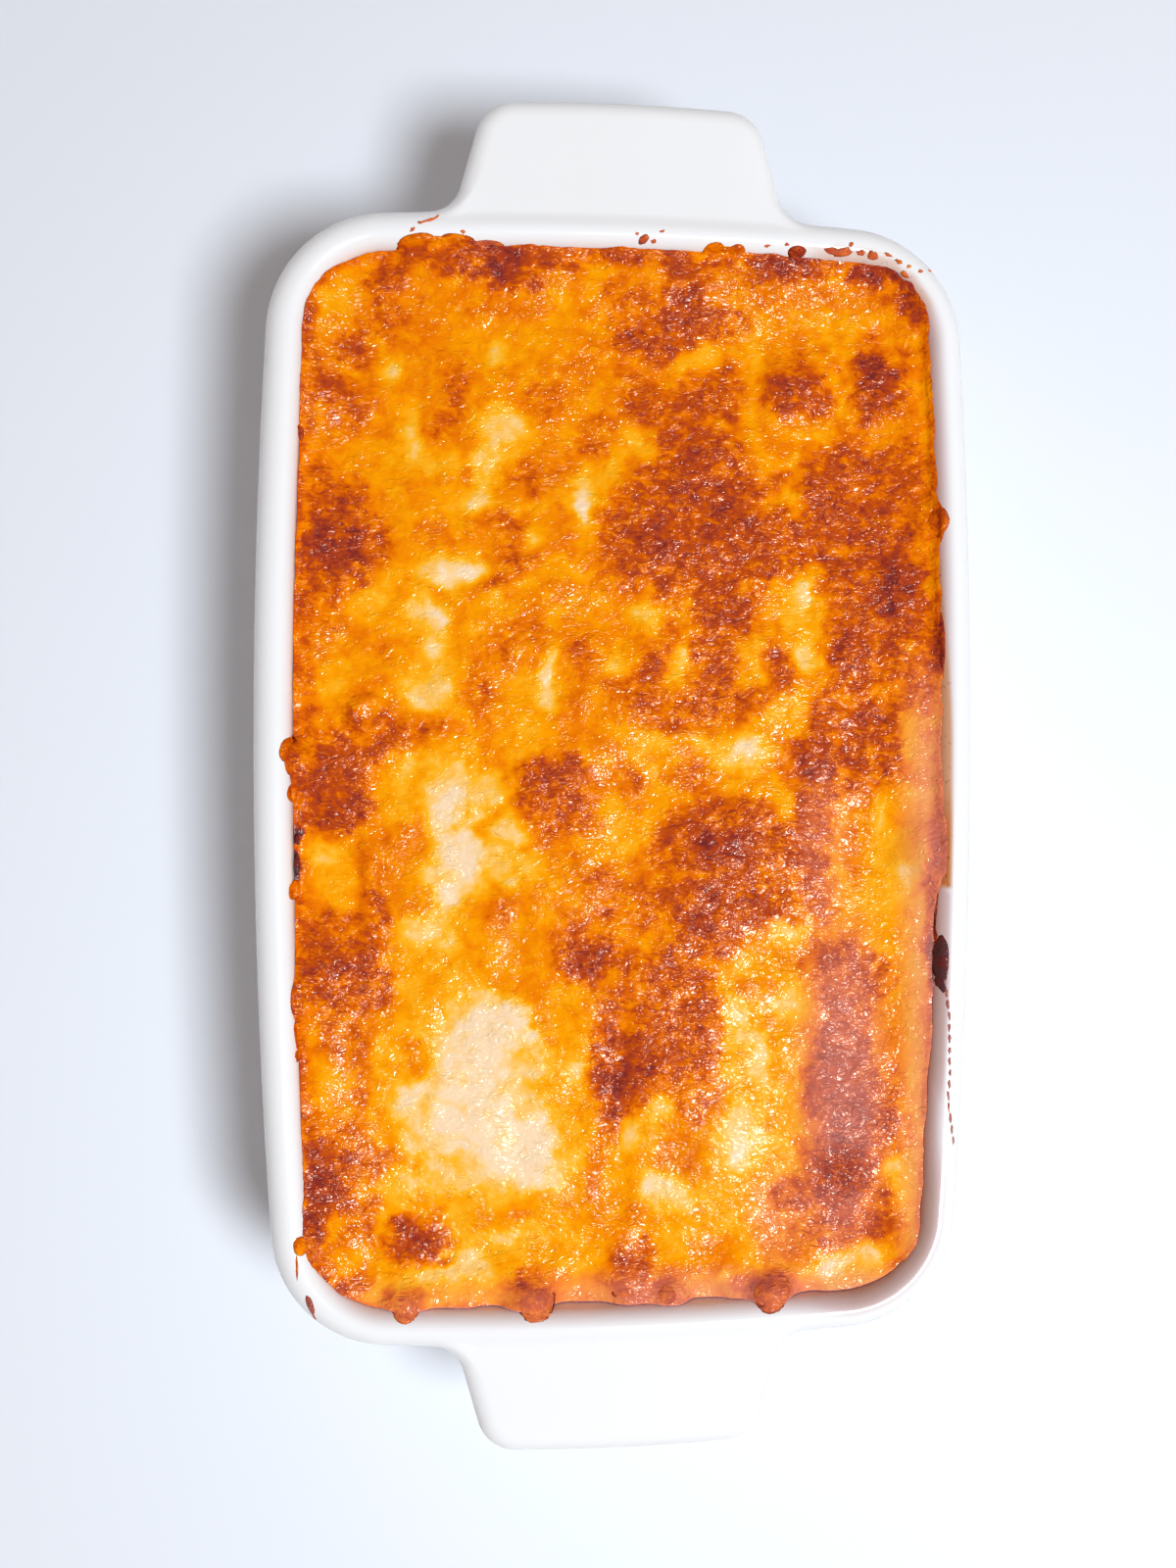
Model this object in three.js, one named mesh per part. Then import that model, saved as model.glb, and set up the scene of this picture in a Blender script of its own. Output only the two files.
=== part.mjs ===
// A full baking dish: a white glazed stoneware dish with two tab handles, and the baked pasta in it.
// Millimetres. X runs across the dish, Y along it and Z up from the table, with the origin under
// the middle of the dish.
import * as THREE from "three";

// Driving dimensions of the dish
const DISH_WIDTH = 192;
const DISH_LENGTH = 300; // without the handles
const DISH_HEIGHT = 60;
const CORNER_RADIUS = 32; // of the rim, seen from above
const SIDE_BOW = 3.8; // how far a long side bulges out
const END_BOW = 2;
const FLOOR_THICKNESS = 7;
const WALL_LEAN = Math.tan((8 * Math.PI) / 180); // the walls open upwards by 8 degrees
const FOOT_HEIGHT = 3.5; // of the rounded edge that the dish stands on
const FOOT_EDGE = 3;

// The rim, as insets from its widest outline
const RIM_UNDERSIDE_Z = 50;
const RIM_CREST_INSET = 5.5;
const OUTER_WALL_INSET = 3.6; // right under the rim
const INNER_WALL_INSET = 9.8; // where the inner wall starts
const INNER_WALL_TOP_Z = 54.5;
const FLOOR_FILLET = 14; // between the inner wall and the floor

// The handles, tabs that carry on from the rim at both ends
const HANDLE_REACH = 28.5;
const HANDLE_HALF_WIDTH = 39.7; // at half its reach
const HANDLE_SLANT = (16 * Math.PI) / 180;
const HANDLE_CORNER = 10.7;
const HANDLE_FILLET = 9;
const HANDLE_FRONT_BOW = 0.65;
const HANDLE_TOP_Z = 58.6;

// The baked pasta
const FOOD_LEVEL = 53;
const FOOD_GAP = 0.4; // clear of the dish
const LEFT_CLIMB = 2.6; // it bakes up the walls, least along the middle of the left one
const LEFT_MIDDLE_CLIMB = 0.3;
const FAR_CLIMB = 3.1;
const RIGHT_CLIMB = 2.9;
const NEAR_CLIMB = 2.4;
const SKIN_ROUNDING = 0.9; // radius of the crust's edge

// How finely the surfaces are cut up
const SIDE_STEPS = 5;
const CORNER_STEPS = 7;
const END_STEPS = 2;
const FILLET_STEPS = 4;
const HANDLE_CORNER_STEPS = 5;
const HANDLE_END_STEPS = 3;
const CRUST_CELLS_X = 42;
const CRUST_CELLS_Y = 70;

function mix(a, b, share) {
  return a + (b - a) * share;
}

// 0 before start, 1 past end, with an even rise between them
function smoothstep(start, end, value) {
  const share = Math.min(Math.max((value - start) / (end - start), 0), 1);
  return share * share * (3 - 2 * share);
}

// A quarter of the rim's outline is three arcs that touch: a long side, a corner and an end.
// An inset outline has the same centres and shorter radii.
function outlineArcs() {
  const halfSide = DISH_LENGTH / 2 - CORNER_RADIUS;
  const halfEnd = DISH_WIDTH / 2 - CORNER_RADIUS;
  const sideRadius = (halfSide ** 2 + SIDE_BOW ** 2) / (2 * SIDE_BOW);
  const endRadius = (halfEnd ** 2 + END_BOW ** 2) / (2 * END_BOW);
  const sideCentre = new THREE.Vector2(DISH_WIDTH / 2 - sideRadius, 0);
  const endCentre = new THREE.Vector2(0, DISH_LENGTH / 2 - endRadius);
  // The corner's centre lies at known distances from the other two centres.
  const toSide = sideRadius - CORNER_RADIUS;
  const toEnd = endRadius - CORNER_RADIUS;
  const between = endCentre.clone().sub(sideCentre);
  const span = between.length();
  const along = (toSide ** 2 - toEnd ** 2 + span ** 2) / (2 * span);
  const across = Math.sqrt(toSide ** 2 - along ** 2);
  const cornerCentre = sideCentre.clone()
    .addScaledVector(between, along / span)
    .add(new THREE.Vector2(-between.y, between.x).multiplyScalar(across / span));
  const sideEnd = cornerCentre.clone().sub(sideCentre).angle();
  const cornerEnd = cornerCentre.clone().sub(endCentre).angle();
  return {
    side: { centre: sideCentre, radius: sideRadius, from: 0, to: sideEnd },
    corner: { centre: cornerCentre, radius: CORNER_RADIUS, from: sideEnd, to: cornerEnd },
    end: { centre: endCentre, radius: endRadius, from: cornerEnd, to: Math.PI / 2 },
  };
}

const ARCS = outlineArcs();

function arcPoint(arc, angle, inset) {
  const radius = arc.radius - inset;
  return new THREE.Vector2(
    arc.centre.x + radius * Math.cos(angle),
    arc.centre.y + radius * Math.sin(angle),
  );
}

function arcPoints(arc, steps, inset) {
  const points = [];
  for (let i = 0; i < steps; i += 1) {
    points.push(arcPoint(arc, mix(arc.from, arc.to, i / steps), inset));
  }
  return points;
}

// The y of the end's arc at a given x
function endCurve(x, inset) {
  const radius = ARCS.end.radius - inset;
  return ARCS.end.centre.y + Math.sqrt(radius ** 2 - x ** 2);
}

// A quarter of a handle's outline, from the rim's corner to the middle of the handle: the end of
// the dish, a hollow fillet, a slanted side, a round corner and a nearly straight front
function handleQuarter() {
  const front = DISH_LENGTH / 2 + HANDLE_REACH - HANDLE_FRONT_BOW;
  const middle = DISH_LENGTH / 2 + HANDLE_REACH / 2;
  const sideX = (y) => HANDLE_HALF_WIDTH - (y - middle) * Math.tan(HANDLE_SLANT);
  const filletY = endCurve(HANDLE_HALF_WIDTH + HANDLE_FILLET, 0) + HANDLE_FILLET;
  const filletX = sideX(filletY) + HANDLE_FILLET / Math.cos(HANDLE_SLANT);
  const cornerY = front - HANDLE_CORNER;
  const cornerX = sideX(cornerY) - HANDLE_CORNER / Math.cos(HANDLE_SLANT);
  const cornerEndX = arcPoint(ARCS.corner, ARCS.corner.to, 0).x;
  const points = [];
  for (let i = 0; i < END_STEPS; i += 1) {
    const x = mix(cornerEndX, filletX, i / END_STEPS);
    points.push(new THREE.Vector2(x, endCurve(x, 0)));
  }
  for (let i = 0; i <= FILLET_STEPS; i += 1) {
    const angle = mix(-Math.PI / 2, -Math.PI + HANDLE_SLANT, i / FILLET_STEPS);
    points.push(new THREE.Vector2(
      filletX + HANDLE_FILLET * Math.cos(angle),
      filletY + HANDLE_FILLET * Math.sin(angle),
    ));
  }
  for (let i = 0; i <= HANDLE_CORNER_STEPS; i += 1) {
    const angle = mix(HANDLE_SLANT, Math.PI / 2, i / HANDLE_CORNER_STEPS);
    points.push(new THREE.Vector2(
      cornerX + HANDLE_CORNER * Math.cos(angle),
      cornerY + HANDLE_CORNER * Math.sin(angle),
    ));
  }
  for (let i = 1; i <= HANDLE_END_STEPS; i += 1) {
    const share = 1 - i / HANDLE_END_STEPS;
    points.push(new THREE.Vector2(cornerX * share, front + HANDLE_FRONT_BOW * (1 - share ** 2)));
  }
  return points;
}

const HANDLE_QUARTER = handleQuarter();

// The x of the wall's point beside each point of the quarter. Behind the handle they are spaced by
// the length along its outline, so the lines that join the two never cross.
function besideHandle() {
  const lengths = [0];
  for (let i = END_STEPS + 1; i < HANDLE_QUARTER.length; i += 1) {
    lengths.push(lengths.at(-1) + HANDLE_QUARTER[i].distanceTo(HANDLE_QUARTER[i - 1]));
  }
  const ends = HANDLE_QUARTER.slice(0, END_STEPS).map((p) => p.x);
  const start = HANDLE_QUARTER[END_STEPS].x;
  return ends.concat(lengths.map((length) => start * (1 - length / lengths.at(-1))));
}

const BESIDE_HANDLE = besideHandle();

// A quarter outline turned into a closed loop by its two mirror images
function mirroredLoop(quarter) {
  const last = quarter.length - 1;
  const right = quarter.map((p) => p.clone());
  const left = quarter.slice(0, last).reverse().map((p) => new THREE.Vector2(-p.x, p.y));
  const farHalf = right.concat(left);
  const nearHalf = farHalf.slice(1, -1).reverse().map((p) => new THREE.Vector2(p.x, -p.y));
  return farHalf.concat(nearHalf);
}

// A loop of the wall, which has no handle: its points lie beside those of the rim's loop
function wallLoop(inset) {
  const points = [
    ...arcPoints(ARCS.side, SIDE_STEPS, inset),
    ...arcPoints(ARCS.corner, CORNER_STEPS, inset),
  ];
  const shrink = arcPoint(ARCS.corner, ARCS.corner.to, inset).x
    / arcPoint(ARCS.corner, ARCS.corner.to, 0).x;
  for (const x of BESIDE_HANDLE) {
    points.push(new THREE.Vector2(x * shrink, endCurve(x * shrink, inset)));
  }
  return mirroredLoop(points);
}

const RIM_LOOP = mirroredLoop([
  ...arcPoints(ARCS.side, SIDE_STEPS, 0),
  ...arcPoints(ARCS.corner, CORNER_STEPS, 0),
  ...HANDLE_QUARTER,
]);

// The rim's outline with its handles, moved inwards square to itself
function rimLoop(inset) {
  const count = RIM_LOOP.length;
  return RIM_LOOP.map((p, i) => {
    const before = RIM_LOOP[(i + count - 1) % count];
    const after = RIM_LOOP[(i + 1) % count];
    const along = after.clone().sub(before).normalize();
    return new THREE.Vector2(p.x - inset * along.y, p.y + inset * along.x);
  });
}

// 1 on the handles and 0 on the rest of the rim, for each point of a loop
const ON_HANDLE = RIM_LOOP.map((p) => {
  const beyond = Math.abs(p.y) - endCurve(Math.min(Math.abs(p.x), DISH_WIDTH / 3), 0);
  return smoothstep(0, HANDLE_FILLET, beyond);
});

// Joins equal loops into one closed body, from a point under the first to one over the last.
function loft(loops, firstZ, lastZ) {
  const count = loops[0].length;
  const positions = [0, 0, firstZ];
  for (const loop of loops) {
    for (const p of loop) {
      positions.push(p.x, p.y, p.z);
    }
  }
  positions.push(0, 0, lastZ);
  const lastIndex = positions.length / 3 - 1;
  const faces = [];
  for (let i = 0; i < count; i += 1) {
    const next = (i + 1) % count;
    faces.push(0, 1 + next, 1 + i);
    for (let k = 0; k < loops.length - 1; k += 1) {
      const low = 1 + k * count;
      const high = low + count;
      faces.push(low + i, low + next, high + next);
      faces.push(low + i, high + next, high + i);
    }
    const top = 1 + (loops.length - 1) * count;
    faces.push(lastIndex, top + i, top + next);
  }
  return solidFrom(positions, faces);
}

function solidFrom(positions, faces) {
  const geometry = new THREE.BufferGeometry();
  geometry.setAttribute("position", new THREE.Float32BufferAttribute(positions, 3));
  geometry.setIndex(faces);
  geometry.computeVertexNormals();
  return geometry;
}

function raised(loop, z) {
  return loop.map((p) => new THREE.Vector3(p.x, p.y, z));
}

// The inset of the cavity's wall at a height: a rounded lip, a leaning wall and a round fillet
function cavityInset(z) {
  if (z >= INNER_WALL_TOP_Z) {
    const rise = (z - INNER_WALL_TOP_Z) / (DISH_HEIGHT - INNER_WALL_TOP_Z);
    const reach = INNER_WALL_INSET - RIM_CREST_INSET;
    return RIM_CREST_INSET + reach * Math.sqrt(Math.max(1 - rise ** 2, 0));
  }
  const wall = INNER_WALL_INSET + (INNER_WALL_TOP_Z - z) * WALL_LEAN;
  const filletTop = FLOOR_THICKNESS + FLOOR_FILLET;
  if (z >= filletTop) {
    return wall;
  }
  const drop = (filletTop - z) / FLOOR_FILLET;
  return wall + FLOOR_FILLET * (1 - Math.sqrt(Math.max(1 - drop ** 2, 0)));
}

function dishGeometry() {
  const wallDrop = (z) => OUTER_WALL_INSET + (RIM_UNDERSIDE_Z - z) * WALL_LEAN;
  const loops = [
    raised(wallLoop(wallDrop(0) + FOOT_EDGE), 0),
    raised(wallLoop(wallDrop(0) + FOOT_EDGE / 4), FOOT_HEIGHT / 4),
    raised(wallLoop(wallDrop(FOOT_HEIGHT)), FOOT_HEIGHT),
    raised(wallLoop(wallDrop(RIM_UNDERSIDE_Z - 4)), RIM_UNDERSIDE_Z - 4),
    raised(wallLoop(OUTER_WALL_INSET - 0.2), RIM_UNDERSIDE_Z - 0.6),
  ];
  // The rolled edge, the same round the rim and the handles: inset and height
  const rolledEdge = [
    [2.3, RIM_UNDERSIDE_Z + 0.1],
    [0.6, RIM_UNDERSIDE_Z + 1.7],
    [0, RIM_UNDERSIDE_Z + 4.4],
    [0.7, RIM_UNDERSIDE_Z + 6.9],
    [2.2, HANDLE_TOP_Z - 0.2],
  ];
  for (const [inset, z] of rolledEdge) {
    loops.push(raised(rimLoop(inset), z));
  }
  // The top of a handle is flat and meets the crest of the rim in a low step.
  const plainTop = wallLoop(3.6);
  const handleTop = wallLoop(1.2);
  loops.push(plainTop.map((p, i) => new THREE.Vector3(
    mix(p.x, handleTop[i].x, ON_HANDLE[i]),
    mix(p.y, handleTop[i].y, ON_HANDLE[i]),
    mix(DISH_HEIGHT - 0.5, HANDLE_TOP_Z, ON_HANDLE[i]),
  )));
  const innerHeights = [
    DISH_HEIGHT,
    mix(INNER_WALL_TOP_Z, DISH_HEIGHT, 0.87),
    mix(INNER_WALL_TOP_Z, DISH_HEIGHT, 0.5),
    INNER_WALL_TOP_Z,
    FLOOR_THICKNESS + FLOOR_FILLET,
    FLOOR_THICKNESS + FLOOR_FILLET * 0.5,
    FLOOR_THICKNESS + FLOOR_FILLET * 0.13,
    FLOOR_THICKNESS,
  ];
  for (const z of innerHeights) {
    loops.push(raised(wallLoop(cavityInset(z)), z));
  }
  return loft(loops, 0, FLOOR_THICKNESS);
}

// How far the inset outline reaches from the middle in a direction
function outlineReach(angle, inset) {
  const c = Math.abs(Math.cos(angle));
  const s = Math.abs(Math.sin(angle));
  const reachOf = (arc) => {
    const along = arc.centre.x * c + arc.centre.y * s;
    const radius = arc.radius - inset;
    const square = along ** 2 - arc.centre.lengthSq() + radius ** 2;
    return along + Math.sqrt(Math.max(square, 0));
  };
  const direction = Math.atan2(s, c);
  if (direction < arcPoint(ARCS.side, ARCS.side.to, inset).angle()) {
    return reachOf(ARCS.side);
  }
  if (direction < arcPoint(ARCS.end, ARCS.end.from, inset).angle()) {
    return reachOf(ARCS.corner);
  }
  return reachOf(ARCS.end);
}

// Raised masses of the browned crust: centre, half length along Y, half width along X, height
const BROWNED_MASSES = [
  { x: -75, y: 68, halfLength: 15, halfWidth: 11, height: 1.5 },
  { x: -76, y: 0, halfLength: 13, halfWidth: 9, height: 1.3 },
  { x: -72, y: -47, halfLength: 14, halfWidth: 11, height: 1.4 },
  { x: -75, y: -103, halfLength: 15, halfWidth: 11, height: 1.2 },
  { x: 27, y: 78, halfLength: 20, halfWidth: 28, height: 1.3 },
  { x: 17, y: 122, halfLength: 12, halfWidth: 13, height: 1.0 },
  { x: 67, y: 38, halfLength: 25, halfWidth: 13, height: 1.4 },
  { x: 34, y: -24, halfLength: 21, halfWidth: 22, height: 1.5 },
  { x: 11, y: -66, halfLength: 22, halfWidth: 14, height: 1.3 },
  { x: 63, y: -82, halfLength: 38, halfWidth: 11, height: 1.4 },
  { x: 46, y: 105, halfLength: 8, halfWidth: 9, height: 2.0 },
  { x: 70, y: 107, halfLength: 10, halfWidth: 8, height: 1.9 },
  { x: -16, y: 0, halfLength: 11, halfWidth: 12, height: 1.2 },
  { x: -55, y: -121, halfLength: 7, halfWidth: 9, height: 1.4 },
  { x: -22, y: -130, halfLength: 7, halfWidth: 12, height: 1.2 },
  { x: 2, y: -129, halfLength: 10, halfWidth: 7, height: 1.3 },
  { x: -30, y: 136, halfLength: 6, halfWidth: 18, height: 1.2 },
  { x: -61, y: 105, halfLength: 9, halfWidth: 7, height: 1.1 },
  { x: -67, y: 18, halfLength: 5, halfWidth: 5, height: 2.2 },
  { x: -8, y: -60, halfLength: 6, halfWidth: 5, height: 1.0 },
];

// Lumps that swelled up at the wall, and dips between them: centre, half width and rise
const EDGE_LUMPS = [
  { x: -57, y: -139, halfWidth: 6, rise: 2.2 },
  { x: -24, y: -139, halfWidth: 6, rise: 2.6 },
  { x: 14, y: -139, halfWidth: 4.5, rise: 1.8 },
  { x: 41, y: -139, halfWidth: 6, rise: 3.0 },
  { x: -10, y: -140, halfWidth: 9, rise: -2.8 },
  { x: 24, y: -140, halfWidth: 6, rise: -2.2 },
  { x: 51, y: -140, halfWidth: 5, rise: -1.4 },
  { x: -35, y: -140, halfWidth: 4, rise: -1.4 },
  { x: 77, y: -130, halfWidth: 10, rise: 1.8 },
  { x: 84, y: -112, halfWidth: 12, rise: 0.9 },
  { x: -85, y: -116, halfWidth: 10, rise: 1.6 },
  { x: -79, y: -129, halfWidth: 9, rise: 1.5 },
  { x: -86, y: -72, halfWidth: 7, rise: -1.6 },
  { x: -86, y: -56, halfWidth: 6, rise: 1.8 },
  { x: -86, y: 5, halfWidth: 6, rise: 3.8 },
  { x: -80, y: 127, halfWidth: 10, rise: 1.0 },
  { x: -66, y: 139, halfWidth: 8, rise: -2.0 },
  { x: -47, y: 141, halfWidth: 9, rise: 1.2 },
  { x: -11, y: 141, halfWidth: 8, rise: -0.7 },
  { x: 68, y: 138, halfWidth: 6, rise: 1.0 },
  { x: 78, y: 130, halfWidth: 10, rise: 2.0 },
  { x: 85, y: 70, halfWidth: 6, rise: 1.8 },
  { x: 86, y: -18, halfWidth: 9, rise: 1.6 },
];

// A smooth random value for each whole-number cell, from the fraction of a scaled sine
function cellValue(i, j) {
  const scaled = Math.sin(i * 127.1 + j * 311.7) * 43758.5453;
  return scaled - Math.floor(scaled);
}

function noise(x, y) {
  const i = Math.floor(x);
  const j = Math.floor(y);
  const u = smoothstep(0, 1, x - i);
  const v = smoothstep(0, 1, y - j);
  const low = mix(cellValue(i, j), cellValue(i + 1, j), u);
  const high = mix(cellValue(i, j + 1), cellValue(i + 1, j + 1), u);
  return mix(low, high, v) * 2 - 1;
}

function bell(distanceSquared) {
  return Math.exp(-(distanceSquared ** 2));
}

function lumpShare(lump, x, y) {
  const distance = Math.hypot(x - lump.x, y - lump.y) / lump.halfWidth;
  return bell(distance ** 2);
}

// The height of the crust over the table
function crustHeight(x, y) {
  const middle = smoothstep(-48, -40, y) * smoothstep(106, 86, y);
  const left = mix(LEFT_CLIMB, LEFT_MIDDLE_CLIMB, middle) * smoothstep(-60, -85, x);
  const far = FAR_CLIMB * smoothstep(116, 141, y);
  const right = RIGHT_CLIMB * smoothstep(68, 86, x);
  const near = NEAR_CLIMB * smoothstep(-122, -139, y);
  let z = FOOD_LEVEL + Math.max(left, far, right, near);
  for (const mass of BROWNED_MASSES) {
    const across = (x - mass.x) / mass.halfWidth;
    const along = (y - mass.y) / mass.halfLength;
    z += 0.6 * mass.height * bell(across ** 2 + along ** 2);
  }
  for (const lump of EDGE_LUMPS) {
    z += lump.rise * lumpShare(lump, x, y);
  }
  // the furrow where two sheets of pasta lie side by side, and the fold near the left wall
  const furrow = bell(((x + 1 + noise(y / 14, 3)) / 4) ** 2);
  z -= 0.7 * furrow * smoothstep(-55, -70, y) * smoothstep(-122, -112, y);
  z += 1.0 * bell(((x + 66) / 2.5) ** 2) * bell(((y + 28) / 18) ** 2);
  return z + 0.6 * noise(x / 22, y / 22) + 0.5 * noise(x / 9 + 7, y / 9);
}

// How far the crust's edge stays off the wall
function edgeGap(x, y) {
  return FOOD_GAP + 0.3 * (1 + noise(x / 7, y / 7));
}

// The pasta is one solid: a crust on a grid that is drawn in to the outline of the dish, and
// rings that follow its wall down to a flat base.
function pastaGeometry() {
  const halfWidth = DISH_WIDTH / 2;
  const halfLength = DISH_LENGTH / 2;
  const positions = [];
  const addPoint = (x, y, z) => {
    positions.push(x, y, z);
    return positions.length / 3 - 1;
  };
  const edgePoint = (angle, inset) => {
    const reach = outlineReach(angle, inset);
    return [reach * Math.cos(angle), reach * Math.sin(angle)];
  };
  const edgeInset = (angle) => {
    const [x, y] = edgePoint(angle, INNER_WALL_INSET);
    return cavityInset(crustHeight(x, y) - SKIN_ROUNDING) + edgeGap(x, y);
  };
  const grid = [];
  const angles = [];
  for (let j = 0; j <= CRUST_CELLS_Y; j += 1) {
    const row = [];
    for (let i = 0; i <= CRUST_CELLS_X; i += 1) {
      const u = mix(-1, 1, i / CRUST_CELLS_X);
      const v = mix(-1, 1, j / CRUST_CELLS_Y);
      const angle = Math.atan2(v * halfLength, u * halfWidth);
      const outTo = Math.max(Math.abs(u), Math.abs(v));
      const reach = outlineReach(angle, edgeInset(angle) + SKIN_ROUNDING) * outTo;
      const x = reach * Math.cos(angle);
      const y = reach * Math.sin(angle);
      row.push(addPoint(x, y, crustHeight(x, y)));
      if (i === 0 || j === 0 || i === CRUST_CELLS_X || j === CRUST_CELLS_Y) {
        angles[row[i]] = angle;
      }
    }
    grid.push(row);
  }
  const faces = [];
  for (let j = 0; j < CRUST_CELLS_Y; j += 1) {
    for (let i = 0; i < CRUST_CELLS_X; i += 1) {
      const corners = [grid[j][i], grid[j][i + 1], grid[j + 1][i + 1], grid[j + 1][i]];
      const turned = (i < CRUST_CELLS_X / 2) === (j < CRUST_CELLS_Y / 2);
      const [a, b, c, d] = turned ? [...corners.slice(1), corners[0]] : corners;
      faces.push(a, b, c);
      faces.push(a, c, d);
    }
  }
  // the rings start on the border of the grid, anticlockwise
  const border = [];
  for (let i = 0; i < CRUST_CELLS_X; i += 1) {
    border.push(grid[0][i]);
  }
  for (let j = 0; j < CRUST_CELLS_Y; j += 1) {
    border.push(grid[j][CRUST_CELLS_X]);
  }
  for (let i = CRUST_CELLS_X; i > 0; i -= 1) {
    border.push(grid[CRUST_CELLS_Y][i]);
  }
  for (let j = CRUST_CELLS_Y; j > 0; j -= 1) {
    border.push(grid[j][0]);
  }
  const ringPoint = (index, kind) => {
    const angle = angles[index];
    const edgeZ = positions[index * 3 + 2];
    if (kind === "skin") {
      const [x, y] = edgePoint(angle, edgeInset(angle));
      return addPoint(x, y, edgeZ - SKIN_ROUNDING);
    }
    const z = {
      flank: edgeZ - 6,
      wallFoot: FLOOR_THICKNESS + FLOOR_FILLET,
      base: FLOOR_THICKNESS + FOOD_GAP,
    }[kind];
    const wallInset = cavityInset(z - (kind === "base" ? FOOD_GAP : 0));
    const [x, y] = edgePoint(angle, wallInset + FOOD_GAP * 1.5);
    return addPoint(x, y, z);
  };
  let upper = border;
  for (const kind of ["skin", "flank", "wallFoot", "base"]) {
    const lower = border.map((index) => ringPoint(index, kind));
    for (let i = 0; i < border.length; i += 1) {
      const next = (i + 1) % border.length;
      faces.push(lower[i], lower[next], upper[next]);
      faces.push(lower[i], upper[next], upper[i]);
    }
    upper = lower;
  }
  const middle = addPoint(0, 0, FLOOR_THICKNESS + FOOD_GAP);
  for (let i = 0; i < upper.length; i += 1) {
    faces.push(middle, upper[(i + 1) % upper.length], upper[i]);
  }
  return solidFrom(positions, faces);
}

function piece(name, geometry, colour, roughness) {
  const material = new THREE.MeshStandardMaterial({ color: colour, roughness, metalness: 0 });
  const mesh = new THREE.Mesh(geometry, material);
  mesh.name = name;
  return mesh;
}

const filledDish = new THREE.Group();
filledDish.add(piece("baking_dish", dishGeometry(), 0xf4f3f5, 0.15));
filledDish.add(piece("lasagna", pastaGeometry(), 0xe08a2c, 0.4));

export default filledDish;
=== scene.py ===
# %% [markdown]
# A lasagna in its baking dish.
# The dish is white glazed stoneware with a tab handle at each end. The lasagna fills it to just
# under the rim, under a crust of cheese that melted, ran together and browned in patches.
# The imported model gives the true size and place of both, and this script gives them their finish.

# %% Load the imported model
import math

import bpy
import numpy as np
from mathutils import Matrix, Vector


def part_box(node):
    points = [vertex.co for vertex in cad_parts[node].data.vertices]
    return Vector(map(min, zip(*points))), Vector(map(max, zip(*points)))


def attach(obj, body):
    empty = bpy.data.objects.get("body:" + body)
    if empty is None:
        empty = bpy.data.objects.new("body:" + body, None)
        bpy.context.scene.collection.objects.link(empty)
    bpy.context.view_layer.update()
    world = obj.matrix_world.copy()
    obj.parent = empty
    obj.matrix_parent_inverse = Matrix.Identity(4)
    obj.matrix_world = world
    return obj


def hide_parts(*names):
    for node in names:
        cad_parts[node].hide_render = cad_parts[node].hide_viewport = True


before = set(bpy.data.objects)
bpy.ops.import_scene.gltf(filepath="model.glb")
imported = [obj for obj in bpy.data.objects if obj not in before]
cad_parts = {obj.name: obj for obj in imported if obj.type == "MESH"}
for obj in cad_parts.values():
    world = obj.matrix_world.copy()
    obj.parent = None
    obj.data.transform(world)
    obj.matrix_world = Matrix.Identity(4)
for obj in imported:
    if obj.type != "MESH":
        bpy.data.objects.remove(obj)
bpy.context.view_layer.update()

# %% [markdown]
# Blender works in metres, but a cook's and a potter's sizes are easier to read in millimetres.
# So every size below is in millimetres, and the meshes are scaled once, when they are made.
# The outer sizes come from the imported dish, so a dish of another size brings its own.

# %% Sizes of the dish
MM = 0.001
dish_low, dish_high = (np.array(corner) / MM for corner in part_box("baking_dish"))
HANDLE_REACH = 28.5
DISH_WIDTH = dish_high[0] - dish_low[0]
DISH_LENGTH = dish_high[1] - dish_low[1] - 2 * HANDLE_REACH
DISH_HEIGHT = dish_high[2] - dish_low[2]
CORNER_RADIUS = 32.0
SIDE_BOW = 3.8
END_BOW = 2.0
FLOOR_THICKNESS = 7.0
WALL_LEAN = math.tan(math.radians(8))
print(f"dish {DISH_WIDTH:.1f} x {DISH_LENGTH:.1f} x {DISH_HEIGHT:.1f} mm without its handles")

# %% [markdown]
# The camera looks down on the dish from just left of its middle, tilted a little to the right,
# as a cook does who leans over the table. Its place was fitted to the outline of the rim.

# %% Camera
LONG_SIDE_PIXELS = 1600
FOCAL_PIXELS = 1716
SENSOR_WIDTH = 36.0
CAMERA_PLACE = (-58.6, 14.3, DISH_HEIGHT + 438.0)
CAMERA_TURNS = (-1.83, -6.43, 0.02)
camera_data = bpy.data.cameras.new("camera")
camera_data.sensor_width = SENSOR_WIDTH
camera_data.lens = SENSOR_WIDTH * FOCAL_PIXELS / LONG_SIDE_PIXELS
camera = bpy.data.objects.new("camera", camera_data)
camera.location = np.array(CAMERA_PLACE) * MM
camera.rotation_euler = [math.radians(turn) for turn in CAMERA_TURNS]
bpy.context.collection.objects.link(camera)
bpy.context.scene.camera = camera
print(f"lens {camera_data.lens:.1f} mm, {camera.location.z:.3f} m over the table")

# %% [markdown]
# Soft daylight comes from the near right, high up, with pale walls all round. The shadow has a
# wide soft edge, so the light is a wide disc, and it fades towards the far left, so it is near.
# A sun lamp has no such fading. An even, slightly warm world stands for the room's walls.
# Two more discs are seen only by gloss. The small one is the bright middle of the window, which
# strikes crisp glints from the wet cheese, and the wide one is its pale surround, which lays a faint
# veil on the near right.

# %% Light
DAYLIGHT = (0.86, 0.935, 1.0)
ROOM_COLOUR = (1.0, 0.88, 0.80, 1)
ROOM_STRENGTH = 0.32


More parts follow.
